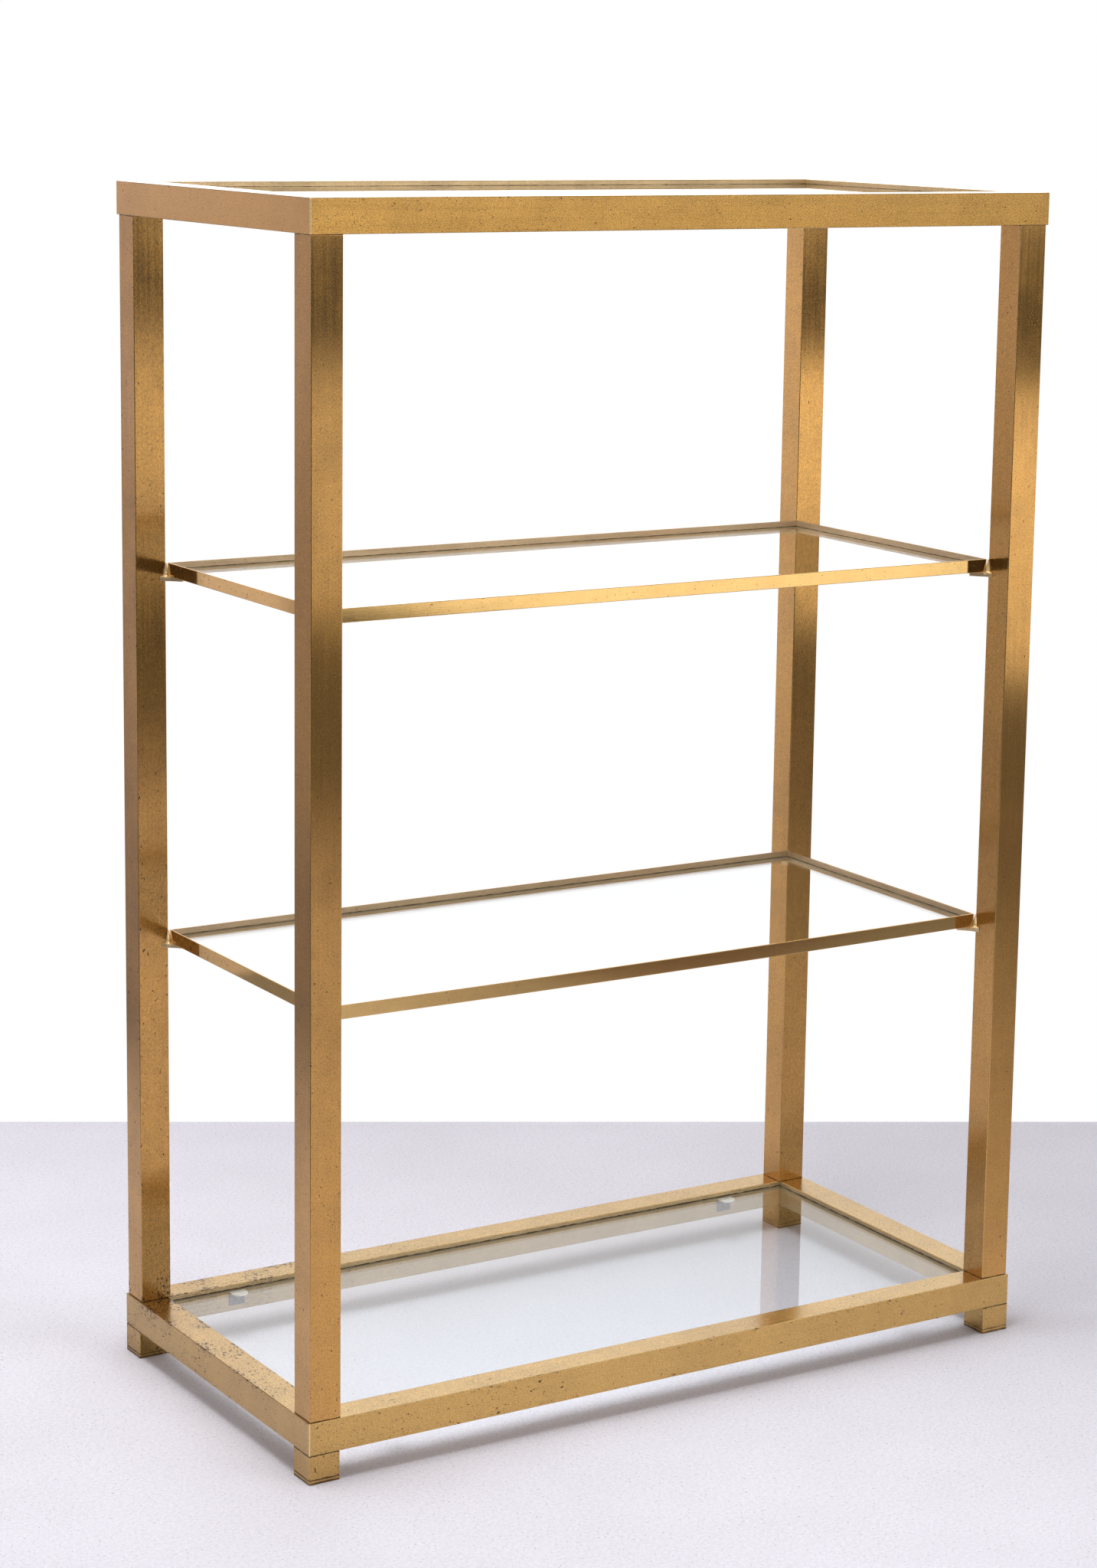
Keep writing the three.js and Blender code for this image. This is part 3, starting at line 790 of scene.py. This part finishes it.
def angle_section(height, ledge):
    """Section of the angle, from its lower outer edge round by the ledge."""
    edge, tip = ANGLE_EDGE_RADIUS, ANGLE_TIP_RADIUS
    wall = ANGLE_WALL
    points = arc((edge, edge), edge, 2 * QUARTER, 3 * QUARTER, ARC_STEPS)
    points += arc((ledge - tip, tip), tip, 3 * QUARTER, 4 * QUARTER, 2)
    points += arc((ledge - tip, wall - tip), tip, 0, QUARTER, 2)
    points.append((wall, wall))
    points += arc((wall - tip, height - tip), tip, 0, QUARTER, 2)
    points += arc((edge, height - edge), edge, QUARTER, 2 * QUARTER, ARC_STEPS)
    return points


def add_angle_frame(prefix):
    for side in SIDES:
        node = f"{prefix}_rail_{side}"
        length, placing = side_frame(prefix, side)
        low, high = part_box(node)
        along = SIDES[side] % 2
        section = angle_section(high[2] - low[2], high[1 - along] - low[1 - along])
        bow = (BAR_SAG, BAR_LEAN) if node == "lower_shelf_rail_front" else (0.0, 0.0)
        loops = rail_loops(section, length, SHELF_CORNER_RADIUS, placing, *bow)
        name = f"{node}_angle"
        mesh = loft(name, loops)
        # The faces round the pane aren't polished
        centre = centre_of(low, high)
        inward = Vector((-centre[0], 0, 0) if along else (0, -centre[1], 0)).normalized()
        for face in mesh.polygons:
            beside_pane = face.normal.dot(inward) > FACING and face.center.z > low[2] + ANGLE_WALL
            on_ledge = face.normal.z > FACING and face.center.z < centre[2]
            face.material_index = int(beside_pane or on_ledge)
        axis = "xy"[along]
        add_piece(name, mesh, [POLISHED[axis], INSIDE["shelf", axis]], node)


def add_pane(node, corner_radius):
    low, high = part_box(node)
    low = (low[0], low[1], low[2] + PANE_SEAT_GAP)
    centre = centre_of(low, high)
    size = [b - a for a, b in zip(low, high)]

    def outline(inset):
        return rounded_rectangle(size[0], size[1], corner_radius, steps=10, inset=inset)

    loops = stacked(
        centre,
        (outline(PANE_ARRIS), low[2]),
        (outline(0), low[2] + PANE_ARRIS),
        (outline(0), high[2] - PANE_ARRIS),
        (outline(PANE_ARRIS), high[2]),
    )
    name = f"{node}_pane"
    mesh = loft(name, loops)
    for face in mesh.polygons:
        face.material_index = int(abs(face.normal.z) < FACING)
    add_piece(name, mesh, [GLASS, GLASS_EDGE], node, smooth=math.radians(30))


def add_foot_cap(node):
    """A block with eased edges under the stub of tube, with its spigot up inside the stub."""
    low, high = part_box(node)
    centre = centre_of(low, high)
    side = high[0] - low[0]
    spigot = side - 2 * TUBE_WALL - SPIGOT_CLEARANCE
    rim_top = low[2] + CAP_RIM_HEIGHT
    part_ease = CAP_EASE * EASE_MIDDLE_SHARE
    full = rounded_rectangle(side, side, TUBE_EDGE_RADIUS)
    eased = rounded_rectangle(side, side, TUBE_EDGE_RADIUS, inset=CAP_EASE)
    softer = rounded_rectangle(side, side, TUBE_EDGE_RADIUS, inset=part_ease)
    inner = rounded_rectangle(spigot, spigot, TUBE_EDGE_RADIUS)
    loops = stacked(
        centre,
        (eased, low[2]),
        (softer, low[2] + part_ease),
        (full, low[2] + CAP_EASE),
        (full, rim_top - CAP_EASE),
        (softer, rim_top - part_ease),
        (eased, rim_top),
        (inner, rim_top),
        (inner, high[2]),
    )
    name = f"{node}_block"
    add_piece(name, loft(name, loops), [AGED_BRASS], node)


def combined(base, operations):
    """The mesh after each (operation, other mesh) has been done to it."""
    work = put_in_scene(base.name, base)
    helpers = []
    for operation, other in operations:
        helper = put_in_scene(other.name, other)
        helpers.append(helper)
        step = work.modifiers.new(operation, "BOOLEAN")
        step.operation = operation
        step.solver = "EXACT"
        step.object = helper
    graph = bpy.context.evaluated_depsgraph_get()
    result = bpy.data.meshes.new_from_object(work.evaluated_get(graph))
    for helper in [work, *helpers]:
        bpy.data.objects.remove(helper)
    return result


def block(width, depth, low, high, radius, centre=(0, 0), turn=0.0, steps=ARC_STEPS):
    outline = rounded_rectangle(width, depth, radius, steps)
    mesh = loft("block", stacked((0, 0), (outline, low), (outline, high)))
    mesh.transform(Matrix.Translation((*centre, 0)) @ Matrix.Rotation(turn, 4, "Z"))
    return mesh


def turned(profile, steps):
    """A closed body of revolution about Z. The profile is (radius, z) from axis to axis."""
    rings = profile[1:-1]
    points = [(0, 0, profile[0][1]), (0, 0, profile[-1][1])]
    for radius, z in rings:
        for i in range(steps):
            angle = 2 * math.pi * i / steps
            points.append((radius * math.cos(angle), radius * math.sin(angle), z))
    faces = []
    for j in range(len(rings) - 1):
        for i in range(steps):
            a, b = 2 + j * steps + i, 2 + j * steps + (i + 1) % steps
            faces.append((a, b, b + steps, a + steps))
    last = 2 + (len(rings) - 1) * steps
    for i in range(steps):
        k = (i + 1) % steps
        faces.append((0, 2 + k, 2 + i))
        faces.append((1, last + i, last + k))
    return mesh_of("turned", points, faces)


def curve_points(start, control, end, steps):
    """A quadratic curve's points."""
    made = []
    for i in range(steps + 1):
        t = i / steps
        weighted = list(zip(((1 - t) ** 2, 2 * t * (1 - t), t * t), (start, control, end)))
        made.append(tuple(sum(weight * point[k] for weight, point in weighted) for k in (0, 1)))
    return made


def bracket_mesh():
    """A bracket in its own axes: x along the diagonal from the post's edge, z = 0 at the shelf."""
    straight = BRACKET_REACH / 2
    tail = BRACKET_ROOT_HALF_WIDTH
    end = (BRACKET_REACH - BRACKET_END_RADIUS, BRACKET_HALF_WIDTH - BRACKET_END_RADIUS)

    def plan(inset):
        half = BRACKET_HALF_WIDTH - inset
        flare = curve_points(
            (0, -tail + inset), (NECK_RADIUS / 2, -half), (straight, -half), BRACKET_CURVE_STEPS
        )
        lower = [(-tail, -tail + inset), *flare]
        radius = BRACKET_END_RADIUS - inset
        lower += arc((end[0], -end[1]), radius, 3 * QUARTER, 4 * QUARTER, BRACKET_CURVE_STEPS)
        return lower + [(x, -y) for x, y in reversed(lower)]

    part_ease = BRACKET_EASE * EASE_MIDDLE_SHARE
    levels = [
        (plan(BRACKET_EASE), -BRACKET_THICKNESS),
        (plan(part_ease), -BRACKET_THICKNESS + part_ease),
        (plan(0), -BRACKET_THICKNESS + BRACKET_EASE),
    ]
    for i in range(ARC_STEPS + 1):
        angle = i / ARC_STEPS * QUARTER
        inset = BRACKET_TOP_ROUND * (1 - math.cos(angle))
        levels.append((plan(inset), BRACKET_TOP_ROUND * (math.sin(angle) - 1)))
    stub = loft("stub", stacked((0, 0), *levels))
    waist = (NECK_WAIST_RADIUS, NECK_RISE)
    hollow = curve_points((NECK_RADIUS, 0), (NECK_WAIST_RADIUS, 0), waist, steps=14)
    root = -BRACKET_THICKNESS / 2
    rim = [(NECK_RADIUS, root), (NECK_RADIUS, -BRACKET_EASE)]
    profile = [(0, root), *rim, *hollow[1:], (LEG_RADIUS, LEG_HEIGHT), (0, LEG_HEIGHT)]
    neck = turned(profile, steps=64)
    diagonal = math.pi / 4
    root_two = math.sqrt(2)
    side = TUBE_SIDE + 2 * BRACKET_GAP
    post_x = BRACKET_GAP * root_two - side / root_two
    reach = 2 * BRACKET_REACH
    shelf_x = (SHELF_POST_GAP - BRACKET_GAP) * root_two + reach / root_two
    bottom, top = -2 * BRACKET_THICKNESS, 2 * LEG_HEIGHT
    post = block(side, side, bottom, top, TUBE_EDGE_RADIUS + BRACKET_GAP, (post_x, 0), diagonal)
    corner = SHELF_CORNER_RADIUS + BRACKET_GAP
    shelf = block(reach, reach, 0, top, corner, (shelf_x, 0), diagonal, steps=10)
    return combined(stub, [("UNION", neck), ("DIFFERENCE", post), ("DIFFERENCE", shelf)])


def add_brackets(prefix):
    shelf_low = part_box(f"{prefix}_rail_front")[0]
    for corner, (sx, sy) in CORNERS.items():
        node = f"{prefix}_bracket_{corner}"
        low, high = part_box(f"post_{corner}")
        edge = (high[0] if sx < 0 else low[0], high[1] if sy < 0 else low[1], shelf_low[2])
        mesh = bracket_mesh()
        turn = Matrix.Rotation(math.atan2(-sy, -sx), 4, "Z")
        mesh.transform(Matrix.Translation(edge) @ turn)
        name = f"{node}_casting"
        add_piece(name, mesh, [CAST_BRASS], node, smooth=math.radians(32))


def clip_mesh(width, depth, height):
    """A bent strip: x along the rail, y inward from it, z up, with z = 0 on top of the ledge."""
    bend = CLIP_BEND_RADIUS
    inner = bend - CLIP_THICKNESS
    nose = width / 2
    # Stations: a point on the outer skin, its partner on the inner skin, and half the width
    stations = []
    for i in range(CLIP_CORNER_STEPS + 1):
        angle = i / CLIP_CORNER_STEPS * QUARTER
        rise = CLIP_PLATE_CORNER * (1 - math.cos(angle))
        half = nose - CLIP_PLATE_CORNER * (1 - math.sin(angle))
        z = -height + rise
        stations.append(((0, z), (CLIP_THICKNESS, z), half))
    outer = arc((bend, -bend), bend, 2 * QUARTER, QUARTER, CLIP_BEND_STEPS)
    inside = arc((bend, -bend), inner, 2 * QUARTER, QUARTER, CLIP_BEND_STEPS)
    stations += [(a, b, nose) for a, b in zip(outer, inside)]
    for i in range(CLIP_NOSE_STEPS + 1):
        angle = i / CLIP_NOSE_STEPS * QUARTER * CLIP_NOSE_SHARE
        y = depth - nose + nose * math.sin(angle)
        stations.append(((y, 0), (y, -CLIP_THICKNESS), nose * math.cos(angle)))
    loops = []
    for outer_point, inner_point, half in stations:
        (y0, z0), (y1, z1) = outer_point, inner_point
        loops.append([(-half, y0, z0), (half, y0, z0), (half, y1, z1), (-half, y1, z1)])
    return loft("clip", loops)


def screw_mesh():
    """The slotted head of a screw, standing on z = 0, with a short shank under it."""
    shank, end = SCREW_SHANK_RADIUS, -SCREW_SHANK_LENGTH
    dome = curve_points(
        (SCREW_HEAD_RADIUS, SCREW_HEAD_HEIGHT / 2),
        (SCREW_HEAD_RADIUS * SCREW_DOME_SHARE, SCREW_HEAD_HEIGHT),
        (0, SCREW_HEAD_HEIGHT),
        steps=10,
    )
    profile = [(0, end), (shank, end), (shank, 0), (SCREW_HEAD_RADIUS, 0), *dome]
    slot = block(
        3 * SCREW_HEAD_RADIUS, SCREW_SLOT_WIDTH, SCREW_HEAD_HEIGHT - SCREW_SLOT_DEPTH,
        2 * SCREW_HEAD_HEIGHT, SCREW_SLOT_CORNER,
    )
    return combined(turned(profile, steps=48), [("DIFFERENCE", slot)])


def add_clip(prefix, side, hand):
    """One clip with its eased plate, its pad and its screw."""
    node = f"{prefix}_clip_{side}_{hand}"
    low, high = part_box(node)
    rail_low, rail_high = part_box(f"{prefix}_rail_{side}")
    if side == "front":
        rail_face, tip, turns, tilt = rail_high[1], high[1], 0, SCREW_TILT
    else:
        rail_face, tip, turns, tilt = rail_low[1], low[1], math.pi, -SCREW_TILT
    mesh = clip_mesh(high[0] - low[0], abs(tip - rail_face), high[2] - low[2])
    corner = Matrix.Translation(((low[0] + high[0]) / 2, rail_face, high[2]))
    placing = corner @ Matrix.Rotation(turns, 4, "Z")
    mesh.transform(placing)
    for face in mesh.polygons:
        face.material_index = int(face.center.z > high[2] - CLIP_THICKNESS * CLIP_PAD_DEPTHS)
    materials = [NICKEL, CLIP_PAD]
    plate = add_piece(f"{node}_plate", mesh, materials, node, smooth=math.radians(50))
    ease = plate.modifiers.new("eased edges", "BEVEL")
    ease.width = CLIP_EASE
    ease.segments = 2
    ease.limit_method = "ANGLE"
    # The easing comes before the weighted normals
    plate.modifiers.move(1, 0)
    screw = screw_mesh()
    upend = Matrix.Rotation(-math.pi / 2, 4, "X")
    seat = Matrix.Translation((0, CLIP_THICKNESS, -CLIP_SCREW_DROP))
    screw.transform(placing @ seat @ upend @ Matrix.Rotation(tilt, 4, "Z"))
    add_piece(f"{node}_screw", screw, [NICKEL], node, smooth=math.radians(35))


for prefix in ("base", "top"):
    add_tube_frame(prefix)
    add_pane(f"{prefix}_glass", FRAME_PANE_CORNER)
    for side in ("front", "rear"):
        for hand in ("left", "right"):
            add_clip(prefix, side, hand)

for prefix in ("upper_shelf", "lower_shelf"):
    add_angle_frame(prefix)
    add_pane(f"{prefix}_glass", SHELF_PANE_CORNER)
    add_brackets(prefix)

for corner in CORNERS:
    for kind in ("post", "foot"):
        node = f"{kind}_{corner}"
        add_upright_tube(node, f"{node}_tube", BRUSHED[kind])
    add_foot_cap(f"foot_cap_{corner}")

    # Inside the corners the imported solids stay, in plated steel
    for hidden in ("post_foot_plug", "post_head_plug", "corner_bolt"):
        solid = frame["nodes"][f"{hidden}_{corner}"]
        solid.data.materials.clear()
        solid.data.materials.append(STEEL)


# Studio

# Ranges are as for the metal. A row of a table has a direction before its range, by the
# direction's shares of x, y and z. What metal mirrors differs from what the camera sees.
FLOOR_REACH = 3.4
FLOOR_SPECKS = (0.648, 0.695, 1.0, 0.67)
# Painted light and shade: paler towards the back, far from the lamps, and a painted shade, a little
# greyer, towards the right
FLOOR_PAINTED_LIGHT = (
    ((0, 1, 0), 0.3, 1.2, 1.0, 1.09),
    ((1, 0.4, 0), -0.35, 0.6, 1.0, 0.82),
)
# Painted light and shade on the floor as metal mirrors it: it fades towards the right, the front left
# and the back left, and has a dim strip
MIRRORED_FLOOR_PAINTED_LIGHT = (
    ((0, 1, 0), -0.55, -0.35, 1.06, 1.2),
    ((1, -0.6, 0), 1.15, 3.4, 1.0, 0.28),
    ((1, -0.6, 0), 3.3, 4.6, 1.0, 1.8),
    ((0, 1, 0), -1.85, -2.5, 1.0, 1.6),
    ((-1, 0.4, 0), 0.0, 0.6, 0.87, 0.68),
    ((-1, 0.4, 0), 1.0, 1.9, 1.0, 0.5),
    ((-1, -0.5, 0), 0.9, 1.5, 1.0, 0.42),
    ((1, 0, 0), 0.5, 0.9, 1.0, 0.84),
    ((1, 0, 0), 1.15, 1.5, 1.0, 1.143),
)
# A painted shadow: as metal mirrors it, the floor is darker under the base pane
SHADOW_UNDER_PANE = (((0, 1, 0), -0.28, -0.12), ((0, 1, 0), 0.55, 0.35), ((1, 0, 0), -0.52, -0.4))
# A painted reflection: a brown patch on the floor that only metal sees
MIRRORED_BROWN_PLACE = (1.6, -2.62, 0)
MIRRORED_BROWN_SPAN = (0.65, 0.2)

WALL_SEAM = ((0.4029, 0.7175), (-0.1551, 1.0303))
WALL_HALF_LENGTH = 4.5
WALL_HEIGHT = 3.2
# One bright stretch on its left, which leans
STRETCH_X = -1.21
STRETCH_LEAN = (0.75, 1.1, 0.0, 0.25)
STRETCH_SPAN = (0.17, 0.07, 0.0)
STRETCH_GAIN = (0.75, 1.1, 0.46, 0.24)
WALL_RIGHT = (-0.5, 0.05, 0.42, 1.4)
MIRRORED_WALL = (
    ((1, 0, 0), -1.9, -1.5, 0.6, 1.0),
    ((0, 0, 1), 0.1, 1.0, 0.70, 1.0),
    ((0, 0, 1), 1.15, 1.35, 1.0, 1.4),
    ((0, 0, 1), 1.4, 1.7, 1.0, 0.5),
)
WALL_TINT_SPAN = (-0.4, 0.1)

# The room's ranges are shares of a direction's length
ROOM_BACK_SPAN = (-0.35, 0.45)
ROOM_FRONT = (0.7, 0.35, 1.85, 2.8)
ROOM_BAND_TOP = (0.061, 0.122, 1.0, 0.12)
ROOM_BAND_FOOT = (-0.0332, -0.0192)
ROOM_FLOOR_EDGE = (-0.1736, -0.1564, 0.17)
ROOM_GAP = (0.45, 0.6, 0.03, 0.09)
ROOM_FRONT_LEFT = (-0.75, -0.3, 0.2, 1.0)
CEILING = (0.35, 0.75, 0.0, 0.4)

# The window's sill and head fall towards its right end
WINDOW_PLACE = (1.62, -2.40, 0)
WINDOW_TURN = math.radians(34)
WINDOW_WIDTHS = (-1.05, 1.45)
WINDOW_HEIGHTS = (0.05, 1.2)
# Its sill, head, left end and right end, and the dimmer stretch by the left end
WINDOW_LIT = (
    ((0.08, 0, 1), 0.333, 0.403),
    ((0.03, 0, 1), 0.916, 0.816),
    ((1, 0, 0), -1.01, -0.89),
    ((1, 0, 0), 1.41, 1.29),
    ((1, 0, 0), -0.72, -0.5, 0.82, 1.0),
)
# Its right end is dimmer low down
WINDOW_RIGHT = (0.25, 0.5, 1.0)
WINDOW_LOW_RIGHT = (0.4, 0.9, 0.72, 1.0)

# Lamps: the place, what they point at, the width in metres and the power in watts
KEY_LAMP = ((-0.6, -0.2, 3.4), (0, 0, 0.2), 1.5, 59)
FILL_LAMP = ((1.6, -2.8, 2.2), (0, 0, 0.5), 2.2, 16.6)


def seen_in_metal(tree, rays):
    """1 for a ray that has been reflected since the camera, also when glass came after."""
    return calculate(tree, "GREATER_THAN", rays.outputs["Glossy Depth"], 0.5)


def flat_piece(name, points, material):
    mesh = bpy.data.meshes.new(name)
    mesh.from_pydata(points, [], [tuple(range(len(points)))])
    mesh.materials.append(material)
    return put_in_scene(name, mesh)


def add_floor():
    material, tree, surface = new_material("studio_floor")
    place = place_on_object(tree)
    grit = noise(tree, place, scale=260, detail=4, seed=(3, 1, 2), rough=0.75)
    blotches = noise(tree, place, scale=7, detail=3, seed=(1, 2, 3))
    specks = noise(tree, place, scale=330, detail=2, seed=(4, 2, 7))
    tone_and_painted_light = product(
        tree,
        spread(tree, grit, low=0.91, high=1.07),
        spread(tree, blotches, low=0.98, high=1.01),
        ramp(tree, specks, *FLOOR_SPECKS),
        along_all(tree, place, FLOOR_PAINTED_LIGHT),
    )
    floor_colour = (0.905, 0.878, 0.960, 1)
    # The floor as the camera sees it: grit, blotches and specks with painted light and shade
    pale_with_painted_light = tinted(tree, floor_colour, tone_and_painted_light)
    # Painted shade and a painted shadow under the base pane, which only metal sees
    painted_shadow = ramp(tree, along_all(tree, place, SHADOW_UNDER_PANE), 0, 1, low=1.0, high=0.66)
    mirrored_painted_shade = tinted(tree, pale_with_painted_light, product(tree, along_all(tree, place, MIRRORED_FLOOR_PAINTED_LIGHT), painted_shadow))
    # A painted reflection: the floor turns brown there only as metal sees it, and the lower shelf's
    # front bar mirrors it
    off = add_node(tree, "VectorMath", operation="DISTANCE")
    tree.links.new(place, off.inputs[0])
    off.inputs[1].default_value = MIRRORED_BROWN_PLACE
    painted_brown_reflection = ramp(tree, off.outputs["Value"], *MIRRORED_BROWN_SPAN)
    mirrored_painted_shade = mix_colours(tree, painted_brown_reflection, mirrored_painted_shade, tinted(tree, mirrored_painted_shade, tint=(0.62, 0.46, 0.42, 1)))
    rays = add_node(tree, "LightPath")
    shader = add_shader(tree, "BsdfPrincipled", {
        "Base Color": mix_colours(tree, seen_in_metal(tree, rays), pale_with_painted_light, mirrored_painted_shade),
        "Roughness": 0.75,
        "Specular IOR Level": 0.2,
    })
    add_relief(tree, shader, grit, strength=0.25, depth=0.4 * MM)
    tree.links.new(shader.outputs[0], surface)
    rim = [(*point, 0) for point in arc((0, 0), FLOOR_REACH, 0, 2 * math.pi, steps=96)[:-1]]
    floor = flat_piece("studio_floor", rim, material)


def wall_glow(tree, place):
    """The wall's strength in metal, brightest at the right."""
    x, _, z = split(tree, place)
    off = minus(tree, size_of(tree, minus(tree, x, STRETCH_X)), ramp(tree, z, *STRETCH_LEAN))
    stretch = ramp(tree, off, *STRETCH_SPAN, ramp(tree, z, *STRETCH_GAIN))
    across = calculate(tree, "ADD", ramp(tree, x, *WALL_RIGHT), stretch)
    return product(tree, across, along_all(tree, place, MIRRORED_WALL))


def add_wall():
    """A white wall behind the object. From its back it isn't there."""
    material, tree, surface = new_material("studio_wall")
    place = place_on_object(tree)
    rays = add_node(tree, "LightPath")
    in_metal = seen_in_metal(tree, rays)
    rightwards = along(tree, place, (1, 0, 0), *WALL_TINT_SPAN)
    mirrored = mix_colours(tree, rightwards, (1, 0.90, 0.97, 1), grey(1))
    white = add_shader(tree, "Emission", {
        "Color": mix_colours(tree, in_metal, grey(1), mirrored),
        "Strength": ramp(tree, in_metal, 0, 1, 1.0, wall_glow(tree, place), "LINEAR"),
    })
    paint = add_shader(tree, "BsdfDiffuse", {"Color": grey(0.8)})
    kinds = ("Camera", "Glossy", "Transmission")
    seen = larger(tree, *(rays.outputs[f"Is {kind} Ray"] for kind in kinds))
    front = mix_shaders(tree, seen, paint.outputs[0], white.outputs[0])
    nothing = add_node(tree, "BsdfTransparent")
    behind = add_node(tree, "NewGeometry").outputs["Backfacing"]
    tree.links.new(mix_shaders(tree, behind, front, nothing.outputs[0]), surface)
    right, left = (Vector((*p, 0)) for p in WALL_SEAM)
    reach = (right - left).normalized() * WALL_HALF_LENGTH
    middle = (right + left) / 2
    low_left, low_right = middle - reach, middle + reach
    rise = Vector((0, 0, WALL_HEIGHT))
    # The corners run so that the normal faces the front
    wall = flat_piece("studio_wall", [low_left, low_right, low_right + rise, low_left + rise], material)


def add_world():
    """White for the camera. Metal sees a room: pale at the back, and dim in front."""
    world = bpy.data.worlds.new("studio")
    bpy.context.scene.world = world
    world.use_nodes = True
    tree = world.node_tree
    tree.nodes.clear()
    output = add_node(tree, "OutputWorld")
    x, y, z = split(tree, add_node(tree, "TexCoord").outputs["Generated"])
    # In front a bright band lies about the horizon, and the room is dim above and below it
    band = product(tree, ramp(tree, x, *ROOM_FRONT), ramp(tree, z, *ROOM_BAND_TOP))
    below = ramp(tree, z, *ROOM_FLOOR_EDGE, ramp(tree, x, *ROOM_GAP))
    upper = ramp(tree, z, *ROOM_BAND_FOOT, below, band)
    front = product(tree, upper, ramp(tree, x, *ROOM_FRONT_LEFT))
    room = ramp(tree, ramp(tree, y, *ROOM_BACK_SPAN), 0, 1, front, 0.8, curve="LINEAR")
    light = calculate(tree, "ADD", room, ramp(tree, z, *CEILING))
    rays = add_node(tree, "LightPath")
    # Less of it falls on dull surfaces, so that the lamps' shadows show
    on_dull = ramp(tree, rays.outputs["Is Diffuse Ray"], 0, 1, 1.0, 0.54, curve="LINEAR")
    studio = add_shader(tree, "Background", {
        "Color": (1, 0.99, 0.98, 1),
        "Strength": product(tree, light, on_dull),
    })
    white = add_shader(tree, "Background", {"Color": grey(1)})
    shown = larger(tree, rays.outputs["Is Camera Ray"], rays.outputs["Is Transmission Ray"])
    shown = product(tree, shown, minus(tree, 1, seen_in_metal(tree, rays)))
    both = mix_shaders(tree, shown, studio.outputs[0], white.outputs[0])
    tree.links.new(both, output.inputs["Surface"])


def add_window():
    """A low bright window in front, which only the metal sees, with a slanting sill."""
    material, tree, surface = new_material("studio_window")
    place = place_on_object(tree)
    x, _, z = split(tree, place)
    rays = add_node(tree, "LightPath")
    low_right = ramp(tree, x, *WINDOW_RIGHT, ramp(tree, z, *WINDOW_LOW_RIGHT))
    lit = along_all(tree, place, WINDOW_LIT)
    lit = product(tree, lit, low_right, seen_in_metal(tree, rays))
    glow = add_shader(tree, "Emission", {"Color": (1, 0.97, 0.93, 1), "Strength": 1.46})
    nothing = add_node(tree, "BsdfTransparent")
    tree.links.new(mix_shaders(tree, lit, nothing.outputs[0], glow.outputs[0]), surface)
    left, right = WINDOW_WIDTHS
    low, high = WINDOW_HEIGHTS
    points = [(left, 0, low), (right, 0, low), (right, 0, high), (left, 0, high)]
    window = flat_piece("studio_window", points, material)
    window.location = WINDOW_PLACE
    window.rotation_euler = (0, 0, WINDOW_TURN)
    window.visible_camera = False
    window.visible_diffuse = False
    window.visible_shadow = False


def add_lamp(name, place, target, size, power):
    light = bpy.data.lights.new(name, "AREA")
    light.shape = "DISK"
    light.size = size
    light.energy = power
    lamp = put_in_scene(name, light)
    lamp.location = place
    lamp.rotation_euler = (Vector(target) - Vector(place)).to_track_quat("-Z", "Y").to_euler()
    lamp.visible_glossy = False


add_floor()
add_wall()
add_world()
add_window()
add_lamp("key", *KEY_LAMP)
add_lamp("fill", *FILL_LAMP)


# Camera

CAMERA_PLACE = (-1.98767, -3.18515, 1.42170)
CAMERA_AZIMUTH = math.radians(32.4158)
CAMERA_PITCH = math.radians(-10.3894)
CAMERA_ROLL = math.radians(0.94146)
# Millimetres on the sensor, and shares of its height
SENSOR_HEIGHT = 36.0
FOCAL_LENGTH = 79.898
SHIFT_X = -0.03857
SHIFT_Y = -0.05132

camera = put_in_scene("photo_camera", bpy.data.cameras.new("photo_camera"))
camera.data.sensor_fit = "VERTICAL"
camera.data.sensor_height = SENSOR_HEIGHT
camera.data.lens = FOCAL_LENGTH
camera.data.shift_x = SHIFT_X
camera.data.shift_y = SHIFT_Y
camera.matrix_world = (
    Matrix.Translation(CAMERA_PLACE)
    @ Matrix.Rotation(-CAMERA_AZIMUTH, 4, "Z")
    @ Matrix.Rotation(math.pi / 2 + CAMERA_PITCH, 4, "X")
    @ Matrix.Rotation(CAMERA_ROLL, 4, "Z")
)
bpy.context.scene.camera = camera
bpy.context.scene.view_settings.view_transform = "Standard"
